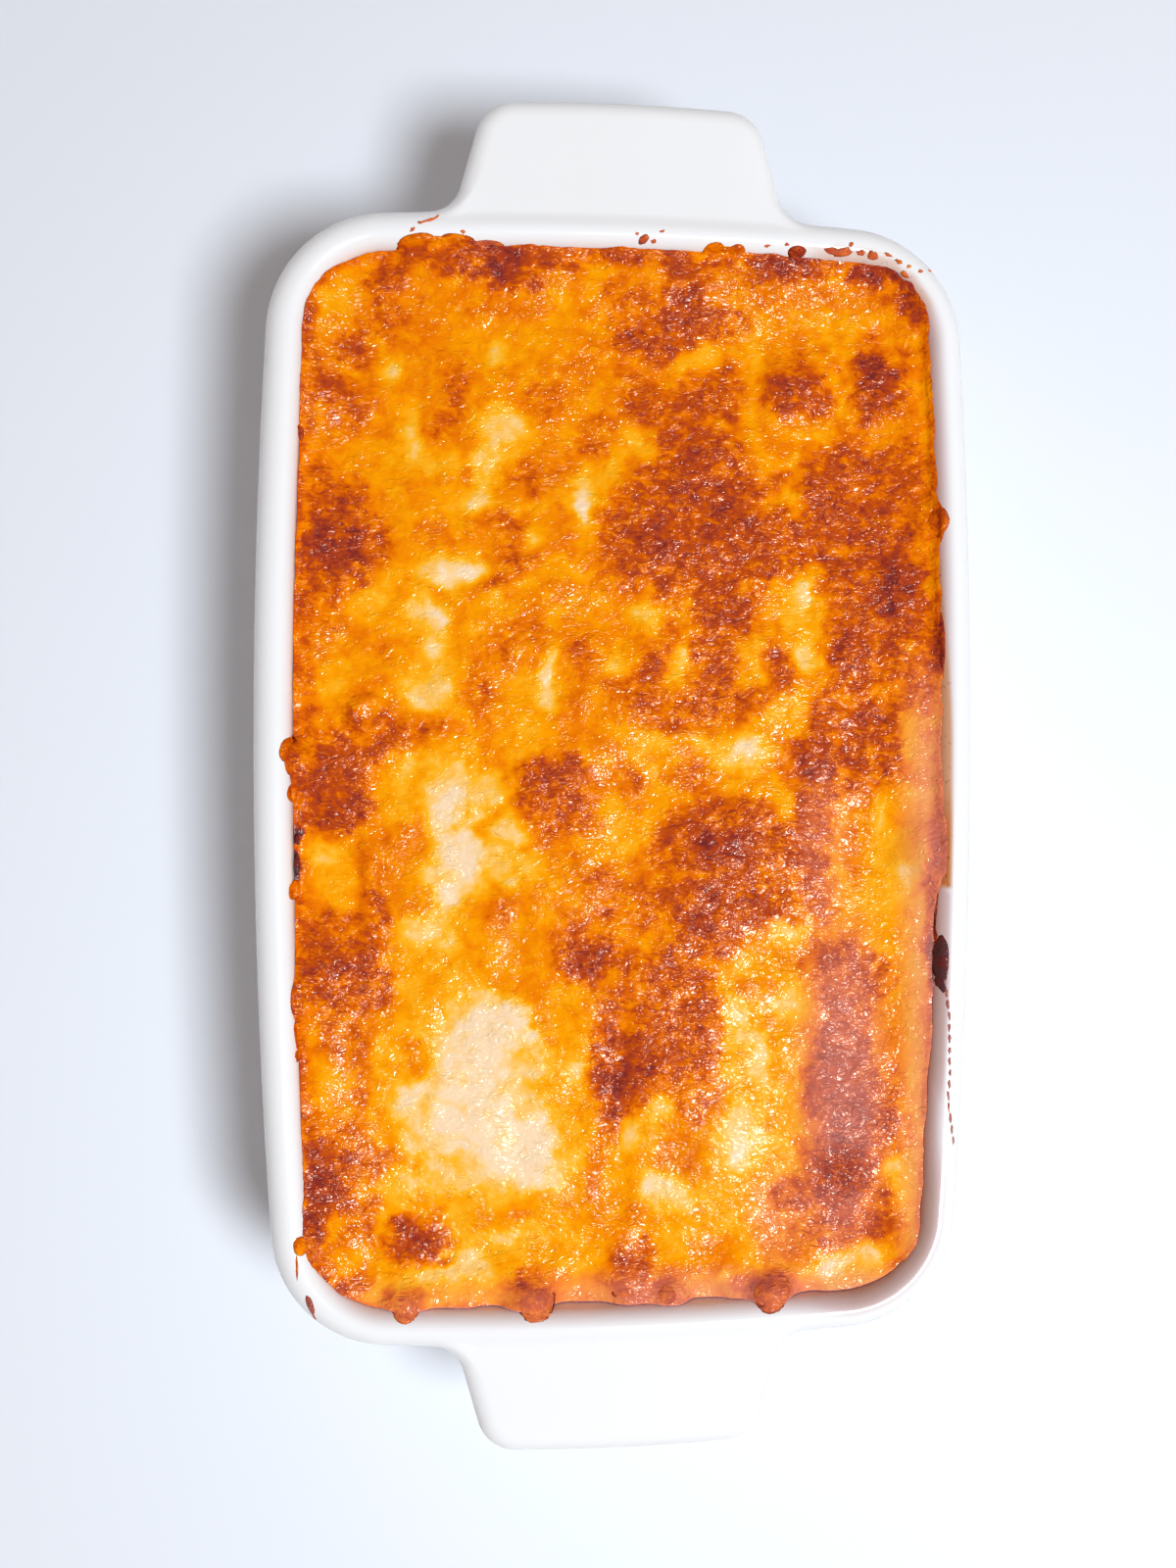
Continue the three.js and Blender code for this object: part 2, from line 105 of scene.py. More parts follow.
def disc_light(name, place, width, energy, diffuse, glossy):
    """A round lamp that faces the middle of the dish's foot."""
    data = bpy.data.lights.new(name, "AREA")
    data.shape = "DISK"
    data.size = width
    data.energy = energy
    data.color = DAYLIGHT
    made = bpy.data.objects.new(name, data)
    made.location = place
    lean = math.atan2(math.hypot(*place[:2]), place[2])
    made.rotation_euler = (lean, 0, math.atan2(place[1], place[0]) + math.pi / 2)
    made.visible_diffuse = diffuse
    made.visible_glossy = glossy
    bpy.context.collection.objects.link(made)
    print(f"{name}: {90 - math.degrees(lean):.0f} degrees over the table")


LAMP_HEIGHT = 1.38
# name, place for a height of 1 m, width, watts, whether plain surfaces see it, whether gloss does
LAMPS = [
    ("window", (0.28, -0.20, 1.0), 0.50, 18.4, True, False),
    ("window_middle", (0.42, -0.34, 1.0), 0.20, 42.0, False, True),
    ("window_surround", (0.31, -0.29, 1.0), 0.52, 11.0, False, True),
]
for name, direction, width, energy, diffuse, glossy in LAMPS:
    disc_light(name, np.array(direction) * LAMP_HEIGHT, width, energy, diffuse, glossy)

world = bpy.data.worlds.new("room")
world.use_nodes = True
world.node_tree.nodes["Background"].inputs["Color"].default_value = ROOM_COLOUR
world.node_tree.nodes["Background"].inputs["Strength"].default_value = ROOM_STRENGTH
bpy.context.scene.world = world
bpy.context.scene.view_settings.view_transform = "Standard"

# %% [markdown]
# Four small helpers do the sums that every shape below needs: a blend of two values, a smooth
# step from 0 to 1, a bell that is 1 near the middle and 0 outside, and a spot, which is an oval bell.


# %% Blends and steps
def mix(a, b, share):
    """a + (b - a) * share"""
    return a + (b - a) * share


def smoothstep(start, end, value):
    """0 before start, 1 past end, and 3 s^2 - 2 s^3 of the share s between them."""
    share = np.clip((value - start) / (end - start), 0, 1)
    return share * share * (3 - 2 * share)


def bell(distance_squared):
    """exp(-d^4): a flat top, then a quick fall about d = 1."""
    return np.exp(-(distance_squared**2))


def spot(x, y, cx, cy, half_width, half_length):
    """The bell of the distance from a centre, as shares of the two half sizes."""
    return bell(((x - cx) / half_width) ** 2 + ((y - cy) / half_length) ** 2)


print(f"a spot falls from {bell(0.0):.0f} at its centre to {bell(1.0):.2f} at its rim")


# %% [markdown]
# Nothing on baked food is even, so nearly every shape below is stirred by noise.
# Random values sit on the corners of a square grid and are blended between them. The values come
# from a formula and not from a random draw, so each run gives the same dish.


# %% Noise
def cell_value(i, j):
    """A value from 0 to 1 for each whole-number cell: the fraction of a large multiple of a sine."""
    scaled = np.sin(i * 127.1 + j * 311.7) * 43758.5453
    return scaled - np.floor(scaled)


def noise(x, y):
    """-1 to 1: the four values round a point, blended by smoothstep along each side."""
    i, j = np.floor(x), np.floor(y)
    u, v = smoothstep(0, 1, x - i), smoothstep(0, 1, y - j)
    low = mix(cell_value(i, j), cell_value(i + 1, j), u)
    high = mix(cell_value(i, j + 1), cell_value(i + 1, j + 1), u)
    return mix(low, high, v) * 2 - 1


def fractal(x, y, size, octaves, shift=0.0):
    """Noise with features of a size in mm, plus half of it at half the size, and so on.
    Each layer is turned by a radian, which hides the square grid."""
    total, weight = 0.0, 1.0
    x, y = x / size + shift, y / size - shift
    for _ in range(octaves):
        total = total + weight * noise(x, y)
        x, y = 2 * (x * math.cos(1) - y * math.sin(1)), 2 * (x * math.sin(1) + y * math.cos(1))
        weight /= 2
    return total


sample = noise(np.arange(0, 60, 0.37), np.arange(60, 0, -0.37))
print(f"a line through the noise runs from {sample.min():.2f} to {sample.max():.2f}")


# %% [markdown]
# Seen from above, the dish is a rectangle whose sides bow out a little, as a mould-maker draws it:
# three arcs that touch make each quarter, a long flat one for the side, a tight one for the
# corner and a long one for the end. The two mirror images of a quarter close the loop.
# A superellipse would be shorter to write, but its corners are never true arcs.


# %% Outline arcs
def outline_arcs():
    """Side, corner and end arcs of a quarter, each as centre, radius, first and last angle.
    A long arc's radius follows from its half chord h and its bow b: (h^2 + b^2) / 2b. The corner's
    centre is where two circles meet, round the other two centres."""
    half_side = DISH_LENGTH / 2 - CORNER_RADIUS
    half_end = DISH_WIDTH / 2 - CORNER_RADIUS
    side_radius = (half_side**2 + SIDE_BOW**2) / (2 * SIDE_BOW)
    end_radius = (half_end**2 + END_BOW**2) / (2 * END_BOW)
    side = np.array([DISH_WIDTH / 2 - side_radius, 0.0])
    end = np.array([0.0, DISH_LENGTH / 2 - end_radius])
    to_side, to_end = side_radius - CORNER_RADIUS, end_radius - CORNER_RADIUS
    between = end - side
    span = np.hypot(*between)
    along = (to_side**2 - to_end**2 + span**2) / (2 * span)
    across = math.sqrt(to_side**2 - along**2)
    corner = side + (between * along + np.array([-between[1], between[0]]) * across) / span
    first = math.atan2(*(corner - side)[::-1])
    last = math.atan2(*(corner - end)[::-1])
    return {
        "side": (side, side_radius, 0.0, first),
        "corner": (corner, CORNER_RADIUS, first, last),
        "end": (end, end_radius, last, math.pi / 2),
    }


ARCS = outline_arcs()
print(f"arcs of {ARCS['side'][1]:.0f}, {CORNER_RADIUS:.0f} and {ARCS['end'][1]:.0f} mm radius")


def arc_points(name, steps):
    """Points of an arc, without its last, and the outward directions there."""
    centre, radius, start, stop = ARCS[name]
    angle = np.linspace(start, stop, steps, endpoint=False)
    outward = np.stack([np.cos(angle), np.sin(angle)], 1)
    return centre + radius * outward, outward


def end_curve(x):
    """The point of the end arc at each x, and the outward direction there."""
    centre, radius = ARCS["end"][:2]
    y = centre[1] + np.sqrt(radius**2 - x**2)
    points = np.stack([x, y], 1)
    return points, (points - centre) / radius


# %% [markdown]
# The handles are tabs: they carry on from the rim in one sweep, through a hollow fillet, a side
# that slants inwards, a round corner and a nearly straight front.
# The rim's loop takes the way round the handles, and the wall's loop takes the short way under
# them. Both have the same number of points at the same x, so one skin can join them.

# %% Outlines of the handles and of the wall
HANDLE_HALF_WIDTH = 39.7
HANDLE_SLANT = math.radians(16)
HANDLE_CORNER = 10.7
HANDLE_FILLET = 9.0
HANDLE_FRONT_BOW = 0.65
SIDE_STEPS, CORNER_STEPS, END_PART_STEPS = 70, 40, 12


def round_part(cx, cy, radius, turn):
    """Points of a circle at each turn from +x."""
    return np.stack([cx + radius * np.cos(turn), cy + radius * np.sin(turn)], 1)


def handle_quarter():
    """From the rim's corner to the middle of the handle's front: the end arc, the fillet, the
    slanted side, the corner, and a front that bows as 1 - x^2."""
    front = DISH_LENGTH / 2 + HANDLE_REACH - HANDLE_FRONT_BOW
    middle = DISH_LENGTH / 2 + HANDLE_REACH / 2

    def side_x(y):
        """The x of the slanted side's line at a y."""
        return HANDLE_HALF_WIDTH - (y - middle) * math.tan(HANDLE_SLANT)

    foot = end_curve(np.array([HANDLE_HALF_WIDTH + HANDLE_FILLET]))[0][0, 1]
    fillet_y = foot + HANDLE_FILLET
    fillet_x = side_x(fillet_y) + HANDLE_FILLET / math.cos(HANDLE_SLANT)
    corner_y = front - HANDLE_CORNER
    corner_x = side_x(corner_y) - HANDLE_CORNER / math.cos(HANDLE_SLANT)
    corner, radius, _, stop = ARCS["corner"]
    start_x = corner[0] + radius * math.cos(stop)
    end_part = end_curve(np.linspace(start_x, fillet_x, END_PART_STEPS, endpoint=False))[0]
    fillet_turn = np.linspace(-math.pi / 2, -math.pi + HANDLE_SLANT, 16)
    fillet = round_part(fillet_x, fillet_y, HANDLE_FILLET, fillet_turn)
    bend = round_part(corner_x, corner_y, HANDLE_CORNER, np.linspace(HANDLE_SLANT, math.pi / 2, 18))
    slant = mix(fillet[-1], bend[0], np.linspace(0, 1, 6)[1:-1, None])
    x = np.linspace(corner_x, 0, 19)[1:]
    front_part = np.stack([x, front + HANDLE_FRONT_BOW * (1 - (x / corner_x) ** 2)], 1)
    return np.vstack([end_part, fillet, slant, bend, front_part])


def beside_handle(quarter):
    """The x of the wall's point beside each point of the quarter. Behind the handle they are
    spaced by the length along its outline, so the lines between the two never cross."""
    under = quarter[END_PART_STEPS:]
    lengths = np.concatenate([[0], np.cumsum(np.linalg.norm(np.diff(under, axis=0), axis=1))])
    x = under[0, 0] * (1 - lengths / lengths[-1])
    return np.concatenate([quarter[:END_PART_STEPS, 0], x])


def inset_of(x, y):
    """How far a point near the rim lies inside the outline. The lines from the corner arc's centre
    through its two ends part the three arcs' sectors."""
    x, y = np.abs(x), np.abs(y)
    corner, _, first, last = ARCS["corner"]
    direction = np.arctan2(y - corner[1], x - corner[0])
    direction = np.where(direction < -math.pi / 2, math.pi, direction)
    insets = {}
    for name in ("side", "corner", "end"):
        centre, radius = ARCS[name][:2]
        insets[name] = radius - np.hypot(x - centre[0], y - centre[1])
    past_side = np.where(direction < last, insets["corner"], insets["end"])
    return np.where(direction < first, insets["side"], past_side)


def mirrored(quarter):
    """The quarter and its mirror images, in order round the loop, without doubled points."""
    left = quarter[:-1][::-1] * (-1, 1)
    near = np.vstack([quarter, left])[1:-1][::-1] * (1, -1)
    return np.vstack([quarter, left, near])


# %% Loops of the rim and of the wall
HANDLE_QUARTER = handle_quarter()
side_points, side_outward = arc_points("side", SIDE_STEPS)
corner_points, corner_outward = arc_points("corner", CORNER_STEPS)
end_points, end_outward = end_curve(beside_handle(HANDLE_QUARTER))
WALL_LOOP = mirrored(np.vstack([side_points, corner_points, end_points]))
WALL_OUTWARD = mirrored(np.vstack([side_outward, corner_outward, end_outward]))
RIM_LOOP = mirrored(np.vstack([side_points, corner_points, HANDLE_QUARTER]))
along = np.roll(RIM_LOOP, -1, 0) - np.roll(RIM_LOOP, 1, 0)
along /= np.linalg.norm(along, axis=1, keepdims=True)
RIM_OUTWARD = np.stack([along[:, 1], -along[:, 0]], 1)
ON_HANDLE = smoothstep(0, 1.2 * HANDLE_FILLET, np.linalg.norm(RIM_LOOP - WALL_LOOP, axis=1))
print(f"{len(WALL_LOOP)} points round the dish, {int((ON_HANDLE > 0.5).sum())} of them on handles")

# %% [markdown]
# The dish and each crumb are stacks of equal loops, with a point that closes them at each end, and
# the lasagna has such loops under its crust. Quads join neighbouring loops, and a fan of triangles
# closes an end. The faces are numbered with whole arrays, so it stays quick for any size.


# %% From loops to a mesh
def new_piece(name, points, quads, triangles, material=None):
    """A smooth mesh object from points in mm."""
    faces = np.concatenate([quads.ravel(), triangles.ravel()])
    sizes = np.concatenate([np.full(len(quads), 4), np.full(len(triangles), 3)])
    mesh = bpy.data.meshes.new(name)
    mesh.vertices.add(len(points))
    mesh.vertices.foreach_set("co", (points * MM).astype(np.float32).ravel())
    mesh.loops.add(len(faces))
    mesh.loops.foreach_set("vertex_index", faces.astype(np.int32))
    mesh.polygons.add(len(sizes))
    mesh.polygons.foreach_set("loop_start", (np.cumsum(sizes) - sizes).astype(np.int32))
    mesh.polygons.foreach_set("use_smooth", np.ones(len(sizes), bool))
    mesh.update(calc_edges=True)
    mesh.validate()
    piece = bpy.data.objects.new(name, mesh)
    bpy.context.collection.objects.link(piece)
    if material:
        mesh.materials.append(material)
    print(f"{name}: {len(points)} points, {2 * len(quads) + len(triangles)} triangles")
    return piece


def add_attribute(piece, name, values):
    """Gives each point of a piece a number that its material can read by name."""
    attribute = piece.data.attributes.new(name, "FLOAT", "POINT")
    attribute.data.foreach_set("value", values.astype(np.float32))
    print(f"{name} of {piece.name} from {values.min():.2f} to {values.max():.2f}")


def ring_quads(rings, count, first=0):
    """Quads between each ring of count points and the next one up."""
    k, i = np.meshgrid(np.arange(rings - 1), np.arange(count), indexing="ij")
    j = (i + 1) % count
    low = first + k * count
    quads = np.stack([low + i, low + j, low + count + j, low + count + i], -1)
    return quads.reshape(-1, 4)


def fan(middle, ring, turned=False):
    """Triangles from a middle point to each side of a ring."""
    after = np.roll(ring, -1)
    second, third = (after, ring) if turned else (ring, after)
    return np.stack([np.full(len(ring), middle), second, third], 1)


# %% [markdown]
# The dish's wall is a profile that is carried round the loop: foot, leaning wall, a small hollow
# under the rim, the rolled edge, the crest, the inner wall and the floor.
# Its bends are quarters of ellipses, given as inset from the outline and height. Where the loop
# passes a handle, the rolled edge has its own flatter form and the top steps up to the crest.

# %% Profile of the dish
RIM_UNDERSIDE = 50.0
RIM_MIDDLE = RIM_UNDERSIDE + 4.4
CREST_INSET = 5.5
OUTER_WALL_INSET = 3.6
INNER_WALL_INSET = 9.8
INNER_WALL_TOP = 54.5
FLOOR_FILLET = 14.0
HANDLE_TOP = 58.6
FOOT_EDGE = 3.0
HANDLE_UNDERSIDE = RIM_UNDERSIDE + 0.3
# Insets of the hollow's end, of the start of the rolled edge, of a handle's rounded edge, and of
# the foot of the step from a handle's top up to the crest.
HOLLOW_INSET = 2.9
EDGE_INSET = 2.6
HANDLE_EDGE_INSET = 5.0
STEP_INSET = 0.6


def bend(start, stop, steps, first):
    """A quarter of an ellipse between two (inset, height) points. It sets off along the inset or
    along the height, and arrives square to that."""
    turn = np.linspace(0, math.pi / 2, steps)
    shares = {"inset": (np.sin(turn), 1 - np.cos(turn)), "height": (1 - np.cos(turn), np.sin(turn))}
    inset_share, height_share = shares[first]
    return np.stack([mix(start[0], stop[0], inset_share), mix(start[1], stop[1], height_share)], 1)


def outer_wall(height):
    """The inset of the leaning outer wall at a height."""
    return OUTER_WALL_INSET + (RIM_UNDERSIDE - height) * WALL_LEAN


def cavity_inset(z):
    """The inset of the inner wall at each height: a rounded lip, a leaning wall, a round fillet."""
    z = np.asarray(z, float)
    rise = np.clip((z - INNER_WALL_TOP) / (DISH_HEIGHT - INNER_WALL_TOP), 0, 1)
    lip = CREST_INSET + (INNER_WALL_INSET - CREST_INSET) * np.sqrt(1 - rise**2)
    fillet_top = FLOOR_THICKNESS + FLOOR_FILLET
    drop = np.clip((fillet_top - z) / FLOOR_FILLET, 0, 1)
    wall = INNER_WALL_INSET + (INNER_WALL_TOP - z) * WALL_LEAN
    wall = wall + FLOOR_FILLET * (1 - np.sqrt(1 - drop**2))
    return np.where(z >= INNER_WALL_TOP, lip, wall)


def lip_height(inset):
    """The height of the rounded lip at an inset between the crest and the inner wall."""
    share = np.clip((inset - CREST_INSET) / (INNER_WALL_INSET - CREST_INSET), 0, 1)
    return INNER_WALL_TOP + (DISH_HEIGHT - INNER_WALL_TOP) * np.sqrt(1 - share**2)


def dish_profile():
    """Rows of plain inset, plain height, handle inset, handle height, and whether on the rim."""
    foot_top = (outer_wall(FOOT_EDGE), FOOT_EDGE)
    foot = bend((foot_top[0] + FOOT_EDGE, 0.0), foot_top, 7, "inset")
    z = np.linspace(FOOT_EDGE, RIM_UNDERSIDE - 3.5, 12)[1:]
    wall = np.stack([outer_wall(z), z], 1)
    hollow = bend(wall[-1], (HOLLOW_INSET, RIM_UNDERSIDE), 6, "height")[1:]
    under = bend((EDGE_INSET, RIM_UNDERSIDE), (0.0, RIM_MIDDLE), 8, "inset")
    under_handle = bend((HANDLE_EDGE_INSET, HANDLE_UNDERSIDE), (0.0, RIM_MIDDLE), 8, "inset")
    over = bend((0.0, RIM_MIDDLE), (CREST_INSET, DISH_HEIGHT), 16, "height")[1:]
    over_handle = bend((0.0, RIM_MIDDLE), (HANDLE_EDGE_INSET, HANDLE_TOP), 10, "height")[1:]
    step = np.linspace(0, 1, 6)
    step_z = mix(HANDLE_TOP, DISH_HEIGHT, smoothstep(0, 1, step))
    step_handle = np.stack([mix(STEP_INSET, CREST_INSET, step), step_z], 1)
    inner = bend((CREST_INSET, DISH_HEIGHT), (INNER_WALL_INSET, INNER_WALL_TOP), 12, "inset")[1:]
    straight_z = np.linspace(INNER_WALL_TOP, FLOOR_THICKNESS + FLOOR_FILLET, 10)[1:]
    fillet_z = FLOOR_THICKNESS + FLOOR_FILLET * (1 - np.sin(np.linspace(0, math.pi / 2, 8)[1:]))
    z = np.concatenate([straight_z, fillet_z])
    cavity = np.stack([cavity_inset(z), z], 1)
    rolled = len(over_handle)
    parts = [
        (foot, foot, 0), (wall, wall, 0), (hollow, hollow, 0), (under, under_handle, 1),
        (over[:rolled], over_handle, 1), (over[rolled:], step_handle, 0),
        (inner, inner, 0), (cavity, cavity, 0),
    ]
    rows = [np.column_stack([plain, handle, np.full(len(plain), rim)]) for plain, handle, rim in parts]
    return np.vstack(rows)


def carried_profile(profile):
    """Each profile row as a loop of points: the wall's or the rim's outline, moved inwards."""
    plain_inset, plain_z, handle_inset, handle_z, on_rim = (profile[:, k, None] for k in range(5))
    inset = mix(plain_inset, handle_inset, ON_HANDLE)
    z = mix(plain_z, handle_z, ON_HANDLE)
    loop = mix(WALL_LOOP[None], RIM_LOOP[None], on_rim[..., None])
    outward = mix(WALL_OUTWARD[None], RIM_OUTWARD[None], on_rim[..., None])
    return np.concatenate([loop - inset[..., None] * outward, z[..., None]], -1)


profile = dish_profile()
dish_rings = carried_profile(profile)
print(f"profile of {len(profile)} rows, crest at {dish_rings[..., 2].max():.1f} mm")

# %% [markdown]
# Stoneware moves in the kiln, so no wall of it is quite true. Under the lip, the walls sway by about
# a tenth of a millimetre. That is done to the finished loops, which keeps the profile simple.

# %% Make the dish
SWAY = 0.12
SWAY_LENGTH = 40
ring_count, loop_count = dish_rings.shape[:2]
sway = SWAY * noise(dish_rings[..., 0] / SWAY_LENGTH, dish_rings[..., 1] / SWAY_LENGTH)
sway = sway * smoothstep(1, 8, dish_rings[..., 2])
dish_rings[..., :2] += sway[..., None] * WALL_OUTWARD[None] * (dish_rings[..., 2:] < INNER_WALL_TOP)
dish_points = np.vstack([dish_rings.reshape(-1, 3), [[0, 0, 0], [0, 0, FLOOR_THICKNESS]]])
last_ring = np.arange(loop_count) + (ring_count - 1) * loop_count
dish_fans = np.vstack([
    fan(len(dish_points) - 2, np.arange(loop_count), turned=True),
    fan(len(dish_points) - 1, last_ring),
])
dish = new_piece("glazed_dish", dish_points, ring_quads(ring_count, loop_count), dish_fans)

# %% [markdown]
# The lasagna bakes up against every wall, least along the middle of the left one, and its edge has
# lumps and dips. Masses of browned cheese stand proud of the paler cheese round them.
# Sculpting would lose its sizes, so the height is a sum of a few named forms. The same forms shape
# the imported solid, and this finer crust lies where that one does.

# %% Forms of the crust
FOOD_LEVEL = 53.0
FOOD_GAP = 0.4
LEFT_CLIMB = 2.6
LEFT_MIDDLE_CLIMB = 0.3
FAR_CLIMB = 3.1
RIGHT_CLIMB = 2.9
NEAR_CLIMB = 2.4
MASS_SHARE = 0.6
FURROW_DEPTH = 0.7
FOLD_HEIGHT = 1.0
SUNK_UNDER_CRUMBS = 0.4
SKIN_ROUNDING = 0.9
CLINGING_ROUND, RESTING_ROUND = 0.1, 0.55
FILM_THICKNESS = 0.12
FILM_REACH = 3.5
FILM_TOP = 59.2
# centre x, centre y, half width, half length, height
BROWNED_MASSES = [
    (-75, 68, 11, 15, 1.5), (-76, 0, 9, 13, 1.3), (-72, -47, 11, 14, 1.4), (-75, -103, 11, 15, 1.2),
    (27, 78, 28, 20, 1.3), (17, 122, 13, 12, 1.0), (67, 38, 13, 25, 1.4), (34, -24, 22, 21, 1.5),
    (11, -66, 14, 22, 1.3), (63, -82, 11, 38, 1.4), (46, 105, 9, 8, 2.0), (70, 107, 8, 10, 1.9),
    (-16, 0, 12, 11, 1.2), (-55, -121, 9, 7, 1.4), (-22, -130, 12, 7, 1.2), (2, -129, 7, 10, 1.3),
    (-30, 136, 18, 6, 1.2), (-61, 105, 7, 9, 1.1), (-67, 18, 5, 5, 2.2), (-8, -60, 5, 6, 1.0),
]
# centre x, centre y, half width, rise; a dip has a rise below 0
EDGE_LUMPS = [
    (-57, -139, 6, 2.2), (-24, -139, 6, 2.6), (14, -139, 4.5, 1.8), (41, -139, 6, 3.0),
    (-10, -140, 9, -2.8), (24, -140, 6, -2.2), (51, -140, 5, -1.4), (-35, -140, 4, -1.4),
    (77, -130, 10, 1.8), (84, -112, 12, 0.9), (-85, -116, 10, 1.6), (-79, -129, 9, 1.5),
    (-86, -72, 7, -1.6), (-86, -56, 6, 1.8), (-86, 5, 6, 3.8), (-80, 127, 10, 1.0), (-66, 139, 8, -2.0),
    (-47, 141, 9, 1.2), (-11, 141, 8, -0.7), (68, 138, 6, 1.0), (78, 130, 10, 2.0), (85, 70, 6, 1.8),
    (86, -18, 9, 1.6),
]


def clean_edge(x, y):
    """1 along the near wall, a quarter along the near part of the right wall, 0 elsewhere: there the
    crust ends in a clean round edge, with no baked film above it."""
    right_side = 0.25 * smoothstep(70, 84, x) * smoothstep(-40, -65, y)
    near_side = smoothstep(-126, -139, y) * smoothstep(-74, -56, x)
    return np.maximum(right_side, near_side)


def film_gone(x, y):
    """0 where a baked film holds the crust to the wall, and 1 where its edge is clean."""
    return smoothstep(0.05, 0.9, clean_edge(x, y))


def crust_height(x, y):
    """The height of the crust: the level, the climb up the walls, the browned masses, the lumps,
    the furrow between two sheets of pasta, a fold, and two sizes of noise."""
    middle = smoothstep(-48, -40, y) * smoothstep(106, 86, y)
    left = mix(LEFT_CLIMB, LEFT_MIDDLE_CLIMB, middle) * smoothstep(-60, -85, x)
    far = FAR_CLIMB * smoothstep(116, 141, y)
    right = RIGHT_CLIMB * smoothstep(68, 86, x)
    near = NEAR_CLIMB * smoothstep(-122, -139, y)
    z = FOOD_LEVEL + np.maximum(np.maximum(left, far), np.maximum(right, near))
    for cx, cy, half_width, half_length, height in BROWNED_MASSES:
        z = z + MASS_SHARE * height * spot(x, y, cx, cy, half_width, half_length)
    for cx, cy, half_width, rise in EDGE_LUMPS:
        z = z + rise * spot(x, y, cx, cy, half_width, half_width)
    furrow = bell(((x + 1 + noise(y / 14, np.full_like(y, 3.0))) / 4) ** 2)
    z = z - FURROW_DEPTH * furrow * smoothstep(-55, -70, y) * smoothstep(-122, -112, y)
    z = z + FOLD_HEIGHT * bell(((x + 66) / 2.5) ** 2) * bell(((y + 28) / 18) ** 2)
    return z + 0.6 * noise(x / 22, y / 22) + 0.5 * noise(x / 9 + 7, y / 9)


print(f"the crust is {crust_height(np.zeros(1), np.zeros(1))[0]:.1f} mm high in the middle")


# %% What crumbs rest on
def rest_height(x, y):
    """The height of what a crumb lies on: the rolled edge, the rounded lip, or the crust."""
    inset = inset_of(x, y)
    outwards = np.clip((CREST_INSET - inset) / CREST_INSET, 0, 1)
    edge = RIM_MIDDLE + (DISH_HEIGHT - RIM_MIDDLE) * np.sqrt(1 - outwards**2)
    inside = np.maximum(lip_height(inset), crust_height(x, y) - SUNK_UNDER_CRUMBS)
    return np.where(inset < CREST_INSET, edge, inside)


crest = rest_height(np.array([DISH_WIDTH / 2 - CREST_INSET]), np.zeros(1))[0]
print(f"a crumb on the crest of the rim lies {crest:.1f} mm high")
